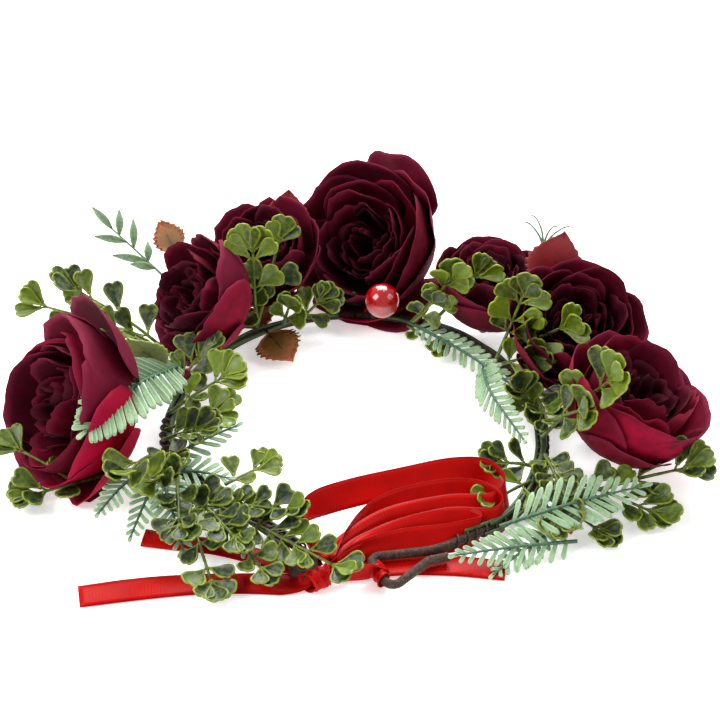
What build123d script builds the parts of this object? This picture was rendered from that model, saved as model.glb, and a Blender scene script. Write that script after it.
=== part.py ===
"""Flower crown: a wire hoop bound with fabric peonies, plastic foliage and a satin ribbon tie.

Units are millimetres and +Z is up. The origin is in the middle of the head opening's width, on
the plane that the crown rests on. The largest bloom is at the front, +Y. The hoop is open at the
back, -Y, where its two eyes are tied with ribbon.
"""

import os
from math import pi, sin, sqrt

from build123d import *

# ---------------------------------------------------------------- driving dimensions
HOOP_Z = 5.0  # height of the hoop's centreline over the rest plane
FRONT_RADIUS = 81.0  # front arc of the hoop's centreline, either side of the front centre
SIDE_RADIUS = 108.0  # flatter arc along each side
FRONT_CENTRE_Y = 30.3  # centre of the front arc
SHOULDER = 45.0  # degrees of front arc in each half
FRONT_GAP = 0.32  # degrees from the front centre to the end face of each half
WIRE_RADIUS = 0.8  # steel core wire
PAPER_BORE = 0.9  # inside of the paper wrapping
PAPER_RADIUS = 2.0  # outside of the paper wrapping
EYE_BEND = 4.0  # bend radius of the wire at the eyes
BINDING_RADIUS = 0.45  # thin wire wound over the hoop
BINDING_RING = 2.6  # centreline radius of one binding turn
STRAND_RADIUS = 0.4  # the same wire between the turns, pulled a little thinner
BINDING_STEP = 5.0  # distance between binding turns
STEM_RADIUS = 1.1  # flower stems
STEM_STANDOFF = 3.2  # hoop centreline to the end of a stem
STALK_LIFT = 3.4  # hoop centreline to the foot of a berry's stalk
PETAL_WALL = 2.5  # stack of petals, taken as one cup
LEAF_THICKNESS = 0.9
FERN_THICKNESS = 0.8
RIBBON_WIDTH = 13.0
RIBBON_THICKNESS = 0.8
LOOP_HALF_WIDTH = 6.0  # the ribbon where it is drawn in, at the loops
SHORT_TAIL_WIDTH = 10.4  # the ribbon where it is folded under the hoop
NECK_THICKNESS = 1.6  # two layers that lead from the knot to the loops
LOOP_JOIN = (8.0, 6.0, 12.0)  # where the loops are sewn together
FLOOR_GAP = 0.2  # knots and loops over the rest plane
KNOT_SIZE = (14.0, 13.0, 9.6)
HITCH_SIZE = (8.0, 8.0, 7.0)
KNOT_CORNER = 3.0
EYE_TUNNEL = 2.35  # hole left in the knots for the wrapped wire
BERRY_RADIUS = 8.3

hoop_plane = Plane.XY.offset(HOOP_Z)


def save(piece, name):
    """Label one finished piece and write it as its own STEP file."""
    piece.part.label = name
    export_step(piece.part, f"parts/{name}.step")


def facing_plane(start, end, face):
    """Plane at start, x towards end, its normal as near to face as that allows."""
    along = (Vector(*end) - Vector(*start)).normalized()
    normal = Vector(*face) - along * Vector(*face).dot(along)
    return Plane(origin=start, x_dir=along, z_dir=normal)


os.makedirs("parts", exist_ok=True)

# ---------------------------------------------------------------- hoop
# Each half is a front arc, a side arc, a corner arc and an arm whose end is bent into an eye.
# Given as: the way it turns, degrees of side arc, corner radius and degrees, length of the
# straight arm, length of it under the binding, and the eye's points after the straight.
HALVES = {
    "left": {
        "turn": 1,
        "side": 45.0,
        "corner": (47.6, 45.8),
        "arm": 83.0,
        "bound": 40.0,
        "eye": [(-22.5, -96.2), (-29.5, -73.4), (-36.0, -67.1)],
        "bends": [EYE_BEND, EYE_BEND, EYE_BEND],
    },
    "right": {
        "turn": -1,
        "side": 76.7,
        "corner": (40.0, 26.5),
        "arm": 28.0,
        "bound": 16.0,
        "eye": [(6.0, -78.0), (16.0, -98.7), (32.5, -80.2), (41.0, -77.5)],
        "bends": [40.0, EYE_BEND, EYE_BEND, EYE_BEND],
    },
}

hoop_wires = {}
for side, half in HALVES.items():
    turn = half["turn"]
    corner_radius, corner_turn = half["corner"]
    with BuildLine() as centreline:
        front = CenterArc(
            (0, FRONT_CENTRE_Y), FRONT_RADIUS, 90 + turn * FRONT_GAP, turn * (SHOULDER - FRONT_GAP)
        )
        flank = JernArc(front @ 1, front % 1, SIDE_RADIUS, turn * half["side"])
        corner = JernArc(flank @ 1, flank % 1, corner_radius, turn * corner_turn)
        arm_end = corner @ 1 + (corner % 1) * half["arm"]
        FilletPolyline(corner @ 1, arm_end, *half["eye"], radius=half["bends"])
    hoop_wires[side] = hoop_plane.from_local_coords(centreline.wire())
    half["outer_bar"] = [arm_end, Vector(*half["eye"][0])]
    if side == "right":
        half["outer_bar"] = [Vector(*half["eye"][0]), Vector(*half["eye"][1])]

    start_plane = Plane(origin=hoop_wires[side] @ 0, z_dir=hoop_wires[side] % 0)
    with BuildPart() as core:
        with BuildSketch(start_plane):
            Circle(WIRE_RADIUS)
        sweep(path=hoop_wires[side])
    save(core, f"core_wire_{side}")

    with BuildPart() as paper:
        with BuildSketch(start_plane):
            Circle(PAPER_RADIUS)
            Circle(PAPER_BORE, mode=Mode.SUBTRACT)
        sweep(path=hoop_wires[side])
    save(paper, f"paper_wrap_{side}")

    # The binding is taken as rings on a thin strand that runs along the top of the hoop.
    with BuildLine() as bound_line:
        add(corner)
        Line(corner @ 1, corner @ 1 + (corner % 1) * half["bound"])
    bound = hoop_plane.from_local_coords(bound_line.wire())
    strand = hoop_plane.offset(BINDING_RING).from_local_coords(bound_line.wire())
    turns = int(bound.length / BINDING_STEP)
    with BuildPart() as binding:
        for count in range(turns):
            along = (count + 0.5) / turns
            with BuildSketch(Plane(origin=bound @ along, z_dir=bound % along)):
                Circle(BINDING_RING + BINDING_RADIUS)
                Circle(BINDING_RING - BINDING_RADIUS, mode=Mode.SUBTRACT)
            extrude(amount=BINDING_RADIUS, both=True)
        with BuildSketch(Plane(origin=strand @ 0, z_dir=strand % 0)):
            Circle(STRAND_RADIUS)
        sweep(path=strand)
    save(binding, f"binding_wire_{side}")


def on_hoop(side, distance, lift=0.0):
    """Point on one half of the hoop, a distance along it from the front centre, and lifted."""
    return hoop_wires[side].position_at(distance, PositionMode.LENGTH) + Vector(0, 0, lift)


# ---------------------------------------------------------------- flowers
# Name, centre, the way it opens, radius, half of the hoop, and the distance along it from the
# front centre to where the stem is bound.
FLOWERS = [
    ("flower_side_left", (-131.0, -2.0, 31.3), (-0.70, -0.20, 0.68), 31.0, "left", 155.0),
    ("flower_rear_left", (-77.0, 88.0, 31.0), (-0.45, -0.35, 0.82), 21.5, "left", 68.0),
    ("flower_mid_left", (-46.0, 123.0, 36.0), (-0.10, -0.20, 0.97), 20.5, "left", 38.0),
    ("flower_front", (7.0, 135.5, 31.8), (0.25, 0.30, 0.92), 30.5, "left", 5.0),
    ("flower_mid_right", (64.0, 105.0, 29.5), (0.10, 0.10, 0.99), 23.0, "right", 58.0),
    ("flower_rear_right", (107.0, 62.0, 31.0), (0.35, -0.30, 0.89), 25.0, "right", 107.0),
    ("flower_side_right", (130.0, -1.5, 31.3), (0.55, -0.45, 0.70), 31.0, "right", 157.0),
]
BASE_SHARE = 0.93  # the flat base of the petals, below the centre, as a share of the radius
MOUTH_SHARE = 0.55  # the open mouth, above the centre
HEART_SHARE = 0.45  # radius of the ball of inner petals
HEART_DROP = 0.2  # its centre below the flower's
HEART_FOOT = 0.3  # radius of its foot
FOOT_TAPER = 0.8  # the foot's lower end, as a share of its upper end
CALYX_SHARE = 0.26  # radius of the calyx's rim
CALYX_TIP = 2.2  # radius of its lower end
CALYX_LENGTH = 5.0

for name, centre, opens, radius, side, bound_at in FLOWERS:
    opens = Vector(*opens).normalized()
    across = opens.cross(Vector(0, 1, 0)).normalized()
    section = Plane(origin=centre, x_dir=across, z_dir=across.cross(opens))
    spin = Axis(centre, opens)
    inside = radius - PETAL_WALL
    base = -BASE_SHARE * radius
    mouth = MOUTH_SHARE * radius
    floor = base + PETAL_WALL

    with BuildPart() as petals:
        with BuildSketch(section):
            with BuildLine():
                base_rim = (sqrt(radius**2 - base**2), base)
                outer_lip = (sqrt(radius**2 - mouth**2), mouth)
                inner_lip = (sqrt(inside**2 - mouth**2), mouth)
                floor_rim = (sqrt(inside**2 - floor**2), floor)
                Polyline((0, floor), (0, base), base_rim)
                ThreePointArc(base_rim, (radius, 0), outer_lip)
                Line(outer_lip, inner_lip)
                ThreePointArc(inner_lip, (inside, 0), floor_rim)
                Line(floor_rim, (0, floor))
            make_face()
        revolve(axis=spin)
    save(petals, f"{name}_petals")

    ball = HEART_SHARE * radius
    ball_y = -HEART_DROP * radius
    foot = HEART_FOOT * radius
    waist = (foot, ball_y - sqrt(ball**2 - foot**2))
    with BuildPart() as heart:
        with BuildSketch(section):
            with BuildLine():
                Polyline((0, ball_y + ball), (0, floor), (foot * FOOT_TAPER, floor), waist)
                ThreePointArc(waist, (ball, ball_y), (0, ball_y + ball))
            make_face()
        revolve(axis=spin)
    save(heart, f"{name}_heart")

    calyx_top = Vector(*centre) + opens * base
    stem_start = calyx_top - opens * (CALYX_LENGTH - STEM_RADIUS)
    toward_hoop = (on_hoop(side, bound_at) - stem_start).normalized()
    stem_end = on_hoop(side, bound_at) - toward_hoop * STEM_STANDOFF
    with BuildPart() as calyx:
        with BuildSketch(section):
            with BuildLine():
                Polyline(
                    (0, base),
                    (CALYX_SHARE * radius, base),
                    (CALYX_TIP, base - CALYX_LENGTH),
                    (0, base - CALYX_LENGTH),
                    close=True,
                )
            make_face()
        revolve(axis=spin)
        with BuildSketch(Plane(origin=stem_start, z_dir=toward_hoop)):
            Circle(STEM_RADIUS)
        extrude(amount=(stem_end - stem_start).length)
    save(calyx, f"{name}_calyx")

# ---------------------------------------------------------------- foliage outlines
PETIOLE = 3.0  # stalk of one boxwood leaf
PETIOLE_WIDTH = 1.2
BLADE = (13.0, 10.5)  # length and width of a boxwood leaf
SPRAY_STEM = 1.5  # width of a spray's stem
LOW_SPREAD = 62.0  # degrees between the stem and the lowest leaves
SPREAD_LOSS = 22.0  # the same angle, less this at the tip
FERN_PITCH = 4.2  # between leaflets
FERN_RIB = 1.3
FERN_BARE = 0.2  # share of the rib without leaflets, at its foot
LEAFLET_WIDTH = 2.4
LEAFLET_SPREAD = 55.0  # degrees
LEAF_STALK = 1.4  # width of a toothed leaf's stalk
TOOTH_DEPTH = 0.8  # width between two teeth, as a share of the width at a tooth


def heart_leaf(scale):
    """Sketch of one notched leaf on its stalk, pointing along +X."""
    length, width = BLADE[0] * scale, BLADE[1] * scale
    tip = PETIOLE + length
    with BuildSketch(mode=Mode.PRIVATE) as leaf:
        with Locations((PETIOLE / 2, 0)):
            Rectangle(PETIOLE + 1.0, PETIOLE_WIDTH)
        with BuildLine():
            for edge_side in (1, -1):
                shoulder = (tip, edge_side * width * 0.22)
                widest = (PETIOLE + 0.68 * length, edge_side * width / 2)
                ThreePointArc((PETIOLE, 0), (PETIOLE + 0.3 * length, edge_side * 0.33 * width), widest)
                ThreePointArc(widest, (tip - 0.1 * length, edge_side * 0.42 * width), shoulder)
                Line(shoulder, (tip - 0.12 * length, 0))
        make_face()
    return leaf.sketch


def boxwood_spray(start, end, face, pairs, scale, first):
    """Add one flat spray of paired notched leaves to the part being built."""
    length = (Vector(*end) - Vector(*start)).length
    leaf = heart_leaf(scale)
    with BuildSketch(facing_plane(start, end, face)) as outline:
        with Locations((length / 2, 0)):
            Rectangle(length, SPRAY_STEM)
        for pair in range(pairs):
            place = length * (first + (1 - first) * pair / max(pairs - 1, 1))
            spread = LOW_SPREAD - SPREAD_LOSS * pair / max(pairs - 1, 1)
            for edge_side in (1, -1):
                with Locations(Location((place - 1.0, 0, 0), (0, 0, edge_side * spread))):
                    add(leaf)
        with Locations(Location((length - 1.0, 0, 0))):
            add(leaf)
    extrude(outline.sketch, amount=LEAF_THICKNESS)


def fern_frond(start, end, face, leaflet):
    """Add one flat frond: a rib with blunt leaflets on both sides."""
    length = (Vector(*end) - Vector(*start)).length
    rows = int(length * (1 - FERN_BARE) / FERN_PITCH)
    with BuildSketch(facing_plane(start, end, face)) as outline:
        with Locations((length / 2, 0)):
            Rectangle(length, FERN_RIB)
        for row in range(rows):
            place = length * FERN_BARE + FERN_PITCH * row
            reach = leaflet * (0.6 + 0.4 * sin(pi * (row + 0.5) / rows))
            for edge_side in (1, -1):
                turned = Location((place, 0, 0), (0, 0, edge_side * LEAFLET_SPREAD))
                with Locations(turned * Location((reach / 2, 0, 0))):
                    SlotOverall(reach, LEAFLET_WIDTH)
    extrude(outline.sketch, amount=FERN_THICKNESS)


def toothed_leaf(start, end, face, stalk, width, teeth):
    """Add one saw-edged leaf on its stalk."""
    length = (Vector(*end) - Vector(*start)).length
    blade = length - stalk
    upper = []
    for tooth in range(2 * teeth):
        along = (tooth + 0.5) / (2 * teeth)
        reach = 0.5 * width * sin(pi * along**0.8) + 0.4
        upper.append((stalk + blade * along, reach * (1.0 if tooth % 2 else TOOTH_DEPTH)))
    lower = [(x, -y) for x, y in reversed(upper)]
    with BuildSketch(facing_plane(start, end, face)) as outline:
        with Locations((stalk / 2 + 0.5, 0)):
            Rectangle(stalk + 1.0, LEAF_STALK)
        with BuildLine():
            Polyline((stalk, 0), *upper, (length, 0), *lower, close=True)
        make_face()
    extrude(outline.sketch, amount=LEAF_THICKNESS)


# ---------------------------------------------------------------- boxwood sprays
# Start by the hoop, tip, the way the leaves face, pairs of leaves, leaf scale, and the share of
# the stem below the first pair.
BOXWOOD = {
    "boxwood_front_left": [
        ((-49, 90, 12), (-50, 91, 58), (0, -1, 0.25), 2, 1.0, 0.8),
        ((-36, 98, 9), (-31, 92, 24), (0, -0.8, 0.6), 1, 0.9, 0.5),
    ],
    "boxwood_front": [((24.5, 101, 9), (38, 78, 47), (0, -1, 0.3), 2, 0.95, 0.6)],
    "boxwood_front_right": [((70, 66, 9.5), (78, 46, 57), (-0.3, -0.8, 0.5), 2, 0.95, 0.8)],
    "boxwood_side_right": [((88, 2, 10), (106, -16, 61), (-0.58, -0.38, 0.72), 2, 0.9, 0.65)],
    "boxwood_top_left": [((-83, 60, 9), (-138, 73, 36), (0.3, 0, 1), 4, 0.9, 0.4)],
    "boxwood_low_left": [
        ((-92, -10, 9), (-97, -58, 28), (-0.2, -0.2, 1), 2, 0.9, 0.6),
        ((-95, -12, 3.4), (-140, -36, 2.5), (0, 0, 1), 2, 0.8, 0.6),
    ],
    "boxwood_arm_left": [((-84, -16, 9.5), (-61, -93, 5.5), (0, 0, 1), 4, 0.85, 0.4)],
    "boxwood_tail_left": [((-70, -42, 10), (-6, -94, 13), (-0.1, -0.2, 1), 5, 0.75, 0.3)],
    "boxwood_inner_left": [
        ((-83, 20, 9.5), (-60, 26, 15), (0, 0, 1), 1, 0.9, 0.5),
        ((-58, -33, 9.5), (-42, -19, 9), (0, 0, 1), 1, 0.7, 0.35),
    ],
    "boxwood_arm_right": [
        ((83, -20, 10.5), (75, -17, 13), (0, -0.5, 1), 1, 0.75, 0.35),
        ((85, 22, 9.5), (76, 34, 15), (0, -0.5, 1), 1, 0.7, 0.35),
    ],
    "boxwood_low_right": [((91, -26, 8.5), (133, -45, 3.5), (0, -0.1, 1), 3, 0.9, 0.35)],
}
for name, sprays in BOXWOOD.items():
    with BuildPart() as spray_group:
        for start, end, face, pairs, scale, first in sprays:
            boxwood_spray(start, end, face, pairs, scale, first)
    save(spray_group, name)

# ---------------------------------------------------------------- fern fronds
# Start by the hoop, tip, the way the leaflets face, length of a leaflet.
FERNS = {
    "fern_top_left": [((-84, 50, 13.5), (-88, -5, 60), (-0.3, -0.4, 1), 15.0)],
    "fern_inner_left": [((-80, -10, 9.5), (-54, 4, 15), (0, -0.3, 1), 8.0)],
    "fern_low_left": [((-93, -20, 4.5), (-80, -74, 2.5), (0, 0, 1), 8.0)],
    "fern_inner_right": [((29, 98.2, 9.5), (82, 34, 12), (0.3, 0.3, 1), 8.0)],
    "fern_hanging": [((64, 60, 8), (71, 2, 16), (0, 0, 1), 9.0)],
    "fern_outer_right": [((64, -63, 9.5), (127, -46, 17), (0, -0.2, 1), 13.0)],
    "fern_low_right": [((98, -72, 2), (44, -86, 2.5), (0, 0, 1), 10.0)],
}
for name, fronds in FERNS.items():
    with BuildPart() as frond_group:
        for start, end, face, leaflet in fronds:
            fern_frond(start, end, face, leaflet)
    save(frond_group, name)

# ---------------------------------------------------------------- toothed leaves
# Start, tip, the way it faces, length of its stalk, width, teeth on each side.
TOOTHED = {
    "bristly_leaves_left": [
        ((-72, 104, 10), (-103, 158, 27), (0, -0.6, 0.8), 45.0, 17.0, 7),
        ((-56, 98, 7.5), (-44, 116, 9), (0, 0, 1), 5.0, 11.0, 6),
        ((-42, 93, 6), (-33, 74, 3.2), (0, 0, 1), 4.0, 22.0, 8),
    ],
    "bristly_leaf_right": [((88, -38, 7), (97, -58, 2), (0, -0.1, 1), 5.0, 15.0, 7)],
    "olive_leaf": [((-90, 44, 9), (-108, 30, 34), (-0.5, -0.5, 1), 14.0, 16.0, 8)],
    "fabric_leaf_left": [((-36, 147, 24), (-34, 149, 50), (0, -1, 0.1), 6.0, 22.0, 7)],
    "fabric_leaf_right": [((94, 94, 28), (105, 94, 61), (0, -1, 0.1), 8.0, 26.0, 7)],
}
for name, leaves in TOOTHED.items():
    with BuildPart() as leaf_group:
        for start, end, face, stalk, width, teeth in leaves:
            toothed_leaf(start, end, face, stalk, width, teeth)
    save(leaf_group, name)

# ---------------------------------------------------------------- twig and tendril
TWIG = ((-70, 96, 7), (-134, 168, 28))
TWIG_STEM = 1.3
TWIG_LEAF = (19.0, 3.0)  # length and width of one narrow leaf
TWIG_LEAVES = [(0.66, 38), (0.74, -40), (0.86, 35), (0.90, -38)]  # share of the stem, degrees
with BuildPart() as twig:
    twig_length = (Vector(*TWIG[1]) - Vector(*TWIG[0])).length
    with BuildSketch(facing_plane(*TWIG, (0, -0.6, 1))):
        with Locations((twig_length / 2, 0)):
            Rectangle(twig_length, TWIG_STEM)
        for share, angle in TWIG_LEAVES:
            turned = Location((twig_length * share, 0, 0), (0, 0, angle))
            with Locations(turned * Location((TWIG_LEAF[0] / 2 - 0.5, 0, 0))):
                SlotOverall(*TWIG_LEAF)
    extrude(amount=LEAF_THICKNESS)
save(twig, "twig")

TENDRIL = ((82, 72, 9), (96, 122, 41))
TENDRIL_STEM = 1.4
TENDRIL_CURL = (18.0, 1.2)  # length and width of one curled end
TENDRIL_SPREAD = [-24, 12, 40]  # degrees
with BuildPart() as tendril:
    tendril_length = (Vector(*TENDRIL[1]) - Vector(*TENDRIL[0])).length
    with BuildSketch(facing_plane(*TENDRIL, (0, -0.8, 0.6))):
        with Locations((tendril_length / 2, 0)):
            Rectangle(tendril_length, TENDRIL_STEM)
        for angle in TENDRIL_SPREAD:
            turned = Location((tendril_length - 1, 0, 0), (0, 0, angle))
            with Locations(turned * Location((TENDRIL_CURL[0] / 2 - 1, 0, 0))):
                SlotOverall(*TENDRIL_CURL)
    extrude(amount=LEAF_THICKNESS)
save(tendril, "tendril")

# ---------------------------------------------------------------- berry and bud
BERRY_CENTRE = Vector(14.0, 95.5, 24.3)
BERRY_BOUND = 3.0  # distance along the left half from the front centre to the foot of the stalk
BUD_CENTRE = Vector(-80.0, 38.0, 17.0)
BUD_BOUND = 122.0
BUD_RADIUS = 3.0
BUD_LENGTH = 9.0
STALK_RADIUS = 0.8


def stalk_to(centre, distance):
    """Add a straight stalk from over the left half of the hoop to a small fruit's centre."""
    bottom = on_hoop("left", distance, STALK_LIFT)
    with BuildSketch(Plane(origin=bottom, z_dir=centre - bottom)) as section:
        Circle(STALK_RADIUS)
    extrude(section.sketch, amount=(centre - bottom).length)


with BuildPart() as berry:
    stalk_to(BERRY_CENTRE, BERRY_BOUND)
    with Locations(BERRY_CENTRE):
        Sphere(BERRY_RADIUS)
save(berry, "berry")

with BuildPart() as bud:
    with Locations(BUD_CENTRE):
        Cylinder(BUD_RADIUS, BUD_LENGTH)
    fillet(bud.edges().filter_by(GeomType.CIRCLE), BUD_RADIUS * 0.9)
    stalk_to(BUD_CENTRE, BUD_BOUND)
save(bud, "bud")

# ---------------------------------------------------------------- ribbon
# Knots are blocks round the outer bar of each eye, with a hole that clears the wrapped wire.


def ribbon_block(side, size):
    """Add a rounded block round the bar of an eye and clear the wire's way through it."""
    middle = (HALVES[side]["outer_bar"][0] + HALVES[side]["outer_bar"][1]) * 0.5
    with BuildSketch(Plane(origin=(middle.X, middle.Y, FLOOR_GAP))) as block:
        RectangleRounded(size[0], size[1], KNOT_CORNER)
    extrude(block.sketch, amount=size[2])
    wire = hoop_wires[side]
    with BuildSketch(Plane(origin=wire @ 0, z_dir=wire % 0)) as tunnel:
        Circle(EYE_TUNNEL)
    sweep(tunnel.sketch, path=wire, mode=Mode.SUBTRACT)


with BuildPart() as knot:
    ribbon_block("left", KNOT_SIZE)
save(knot, "ribbon_knot")

with BuildPart() as hitch:
    ribbon_block("right", HITCH_SIZE)
save(hitch, "ribbon_hitch")

# One loop is a band standing on edge: start, far end, height of its fold and of its underside.
LOOPS = [
    ((-16, -60), (62, -42), 22.0, 9.0),
    ((-4, -65), (64, -33), 15.0, 3.0),
    ((4, -65), (52, -49), 9.0, FLOOR_GAP),
]
with BuildPart() as loops:
    for start, end, top, bottom in LOOPS:
        span = Vector(end[0] - start[0], end[1] - start[1], 0)
        length, height = span.length, top - bottom
        upright = Plane(
            origin=(start[0], start[1], bottom), x_dir=span, z_dir=span.cross(Vector(0, 0, 1))
        )
        with BuildSketch(upright):
            with Locations((length / 2, height / 2)):
                SlotOverall(length, height)
                SlotOverall(
                    length - 2 * RIBBON_THICKNESS, height - 2 * RIBBON_THICKNESS, mode=Mode.SUBTRACT
                )
        extrude(amount=LOOP_HALF_WIDTH, both=True)
    with BuildSketch(Plane.XY.offset(FLOOR_GAP)):
        with BuildLine():
            Polyline((-6, -80), (2, -71), (16, -66), (14, -58), (-10, -60), (-14, -79), close=True)
        make_face()
    extrude(amount=NECK_THICKNESS)
    with BuildSketch(Plane.XY.offset(FLOOR_GAP)):
        with Locations((2, -64)):
            Rectangle(LOOP_JOIN[0], LOOP_JOIN[1])
    extrude(amount=LOOP_JOIN[2])
save(loops, "ribbon_loops")

TAIL = [(-27.5, -91.5), (-68.0, -90.5), (-117.0, -99.0)]
with BuildPart() as tail:
    with BuildSketch(Plane.XY):
        with BuildLine():
            ThreePointArc(*TAIL)
        trace(line_width=RIBBON_WIDTH)
    extrude(amount=RIBBON_THICKNESS)
save(tail, "ribbon_tail")

SHORT_TAIL = [(-27.0, -79.0), (-58.0, -66.0), (-93.0, -62.0)]
with BuildPart() as short_tail:
    with BuildSketch(Plane.XY):
        with BuildLine():
            ThreePointArc(*SHORT_TAIL)
        trace(line_width=SHORT_TAIL_WIDTH)
    extrude(amount=RIBBON_THICKNESS)
save(short_tail, "ribbon_short_tail")
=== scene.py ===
"""Flower crown dressed over its measured frame.

The wrapped hoop keeps its measured shape and gets its own finish. Every bloom, spray, frond, leaf,
berry and ribbon is modelled here, over the plain solid that stands for it. Stations are in
millimetres, in the frame's own axes, and everything that reaches Blender is in metres.
"""

import logging
import random
from dataclasses import dataclass, field
from enum import Enum
from math import cos, exp, pi, radians, sin, tau
from typing import Callable, ClassVar, Optional, Sequence, Union

import bmesh
import bpy
from mathutils import Matrix, Vector, noise

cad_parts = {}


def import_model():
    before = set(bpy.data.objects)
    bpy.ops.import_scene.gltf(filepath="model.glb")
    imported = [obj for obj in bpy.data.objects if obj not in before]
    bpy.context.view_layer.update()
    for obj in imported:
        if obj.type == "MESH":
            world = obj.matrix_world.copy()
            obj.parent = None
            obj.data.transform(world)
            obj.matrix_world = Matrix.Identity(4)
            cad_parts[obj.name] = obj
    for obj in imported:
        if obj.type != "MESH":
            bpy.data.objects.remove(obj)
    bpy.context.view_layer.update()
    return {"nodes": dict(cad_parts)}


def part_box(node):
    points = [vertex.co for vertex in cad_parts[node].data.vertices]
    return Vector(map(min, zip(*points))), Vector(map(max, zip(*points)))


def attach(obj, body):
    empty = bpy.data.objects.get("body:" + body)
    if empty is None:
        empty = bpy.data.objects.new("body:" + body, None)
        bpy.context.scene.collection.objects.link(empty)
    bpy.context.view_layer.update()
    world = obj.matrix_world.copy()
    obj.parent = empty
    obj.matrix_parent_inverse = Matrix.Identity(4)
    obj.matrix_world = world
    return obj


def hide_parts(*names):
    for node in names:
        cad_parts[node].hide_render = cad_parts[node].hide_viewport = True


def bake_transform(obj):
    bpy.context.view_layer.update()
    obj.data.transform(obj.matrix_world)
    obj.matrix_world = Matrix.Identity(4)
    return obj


LOG = logging.getLogger("flower_crown")
MM = 0.001
WAVE_PERIOD = 0.314  # period of a band texture of scale 1, in its own units
GOLDEN_ANGLE = 137.5  # degrees from one crumpled inner petal to the next
Point = tuple[float, float, float]
Form = Callable[[float, float], Vector]
Shade = Callable[[float, float], float]
Span = tuple[float, float]
Term = Union[bpy.types.NodeSocket, float, tuple[float, ...]]


class Body(Enum):
    """The crown's moving bodies."""

    LEFT = "left_half"
    RIGHT = "right_half"
    BOW = "bow"
    TAIL = "tail"


# ---------------------------------------------------------------- colour and material helpers
def srgb(code: str) -> tuple[float, float, float, float]:
    """Turn an sRGB hex colour to linear.

    Args:
        code: Six hex digits, with or without a leading #.

    Returns:
        Linear red, green, blue and an alpha of 1.
    """
    digits = code.lstrip("#")
    shares = [int(digits[i : i + 2], 16) / 255 for i in (0, 2, 4)]
    linear = [c / 12.92 if c <= 0.04045 else ((c + 0.055) / 1.055) ** 2.4 for c in shares]
    return (*linear, 1.0)


def add_node(
    tree: bpy.types.NodeTree,
    kind: str,
    links: Optional[dict] = None,
    stops: Sequence[tuple[float, str]] = (),
    **settings: object,
) -> bpy.types.Node:
    """Add a node with its settings and links.

    Args:
        tree: The material's node tree.
        kind: The node's type name.
        links: Input name or number, with the socket or the value that it takes.
        stops: Places and hex colours of a colour ramp.
        **settings: Attributes of the node itself.

    Returns:
        The new node.
    """
    made = tree.nodes.new(kind)
    for name, value in settings.items():
        setattr(made, name, value)
    for socket, source in (links or {}).items():
        if isinstance(source, bpy.types.NodeSocket):
            tree.links.new(source, made.inputs[socket])
        else:
            made.inputs[socket].default_value = source
    for index, (place, code) in enumerate(stops):
        ramp = made.color_ramp.elements
        stop = ramp[index] if index < 2 else ramp.new(place)
        stop.position = place
        stop.color = srgb(code)
    return made


def attribute(tree: bpy.types.NodeTree, name: str) -> bpy.types.NodeSocket:
    """Read a value stored on the mesh.

    Args:
        tree: The material's node tree.
        name: The value's name.

    Returns:
        The value.
    """
    return add_node(tree, "ShaderNodeAttribute", attribute_name=name).outputs["Fac"]


def reckon(
    tree: bpy.types.NodeTree, operation: str, *terms: Term, clamp: bool = False
) -> bpy.types.NodeSocket:
    """Work one number out from others.

    Args:
        tree: The material's node tree.
        operation: What to do with them.
        *terms: Sockets or plain numbers.
        clamp: Whether to keep the result between 0 and 1.

    Returns:
        The result.
    """
    links = dict(enumerate(terms))
    return add_node(tree, "ShaderNodeMath", links, operation=operation, use_clamp=clamp).outputs[0]


def rescale(
    tree: bpy.types.NodeTree, value: Term, span: Span, to_span: Span = (0.0, 1.0)
) -> bpy.types.NodeSocket:
    """Map one span of values to another, and hold it at the ends.

    Args:
        tree: The material's node tree.
        value: The value to map.
        span: Where it comes from.
        to_span: Where it goes.

    Returns:
        The mapped value.
    """
    names = ("From Min", "From Max", "To Min", "To Max")
    links = {"Value": value, **dict(zip(names, (*span, *to_span)))}
    return add_node(tree, "ShaderNodeMapRange", links).outputs[0]


def cloud(
    tree: bpy.types.NodeTree, place: Term, size_mm: float, detail: float, **more: float
) -> bpy.types.NodeSocket:
    """Make a soft random pattern.

    Args:
        tree: The material's node tree.
        place: The coordinates that it follows.
        size_mm: Size of its largest patches.
        detail: How many finer layers it has.
        **more: Other inputs of the node.

    Returns:
        The pattern's value.
    """
    links = {"Vector": place, "Scale": 1 / (size_mm * MM), "Detail": detail, **more}
    return add_node(tree, "ShaderNodeTexNoise", links).outputs[0]


def bands(
    tree: bpy.types.NodeTree, flat: Term, pitch_mm: float, way: str, distortion: float
) -> bpy.types.NodeSocket:
    """Make parallel ridges.

    Args:
        tree: The material's node tree.
        flat: The coordinates that they follow.
        pitch_mm: From one ridge to the next.
        way: The axis that they follow one another along, X or Y.
        distortion: How uneven they are.

    Returns:
        The height of the ridges.
    """
    links = {"Vector": flat, "Scale": WAVE_PERIOD / (pitch_mm * MM), "Distortion": distortion}
    return add_node(tree, "ShaderNodeTexWave", links, bands_direction=way).outputs[1]


def mingle(tree: bpy.types.NodeTree, share: Term, low: Term, high: Term) -> bpy.types.NodeSocket:
    """Mix two colours.

    Args:
        tree: The material's node tree.
        share: How much of the second colour there is.
        low: The first colour.
        high: The second colour.

    Returns:
        The mixed colour.
    """
    links = {0: share, 6: low, 7: high}
    return add_node(tree, "ShaderNodeMix", links, data_type="RGBA").outputs[2]


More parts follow.
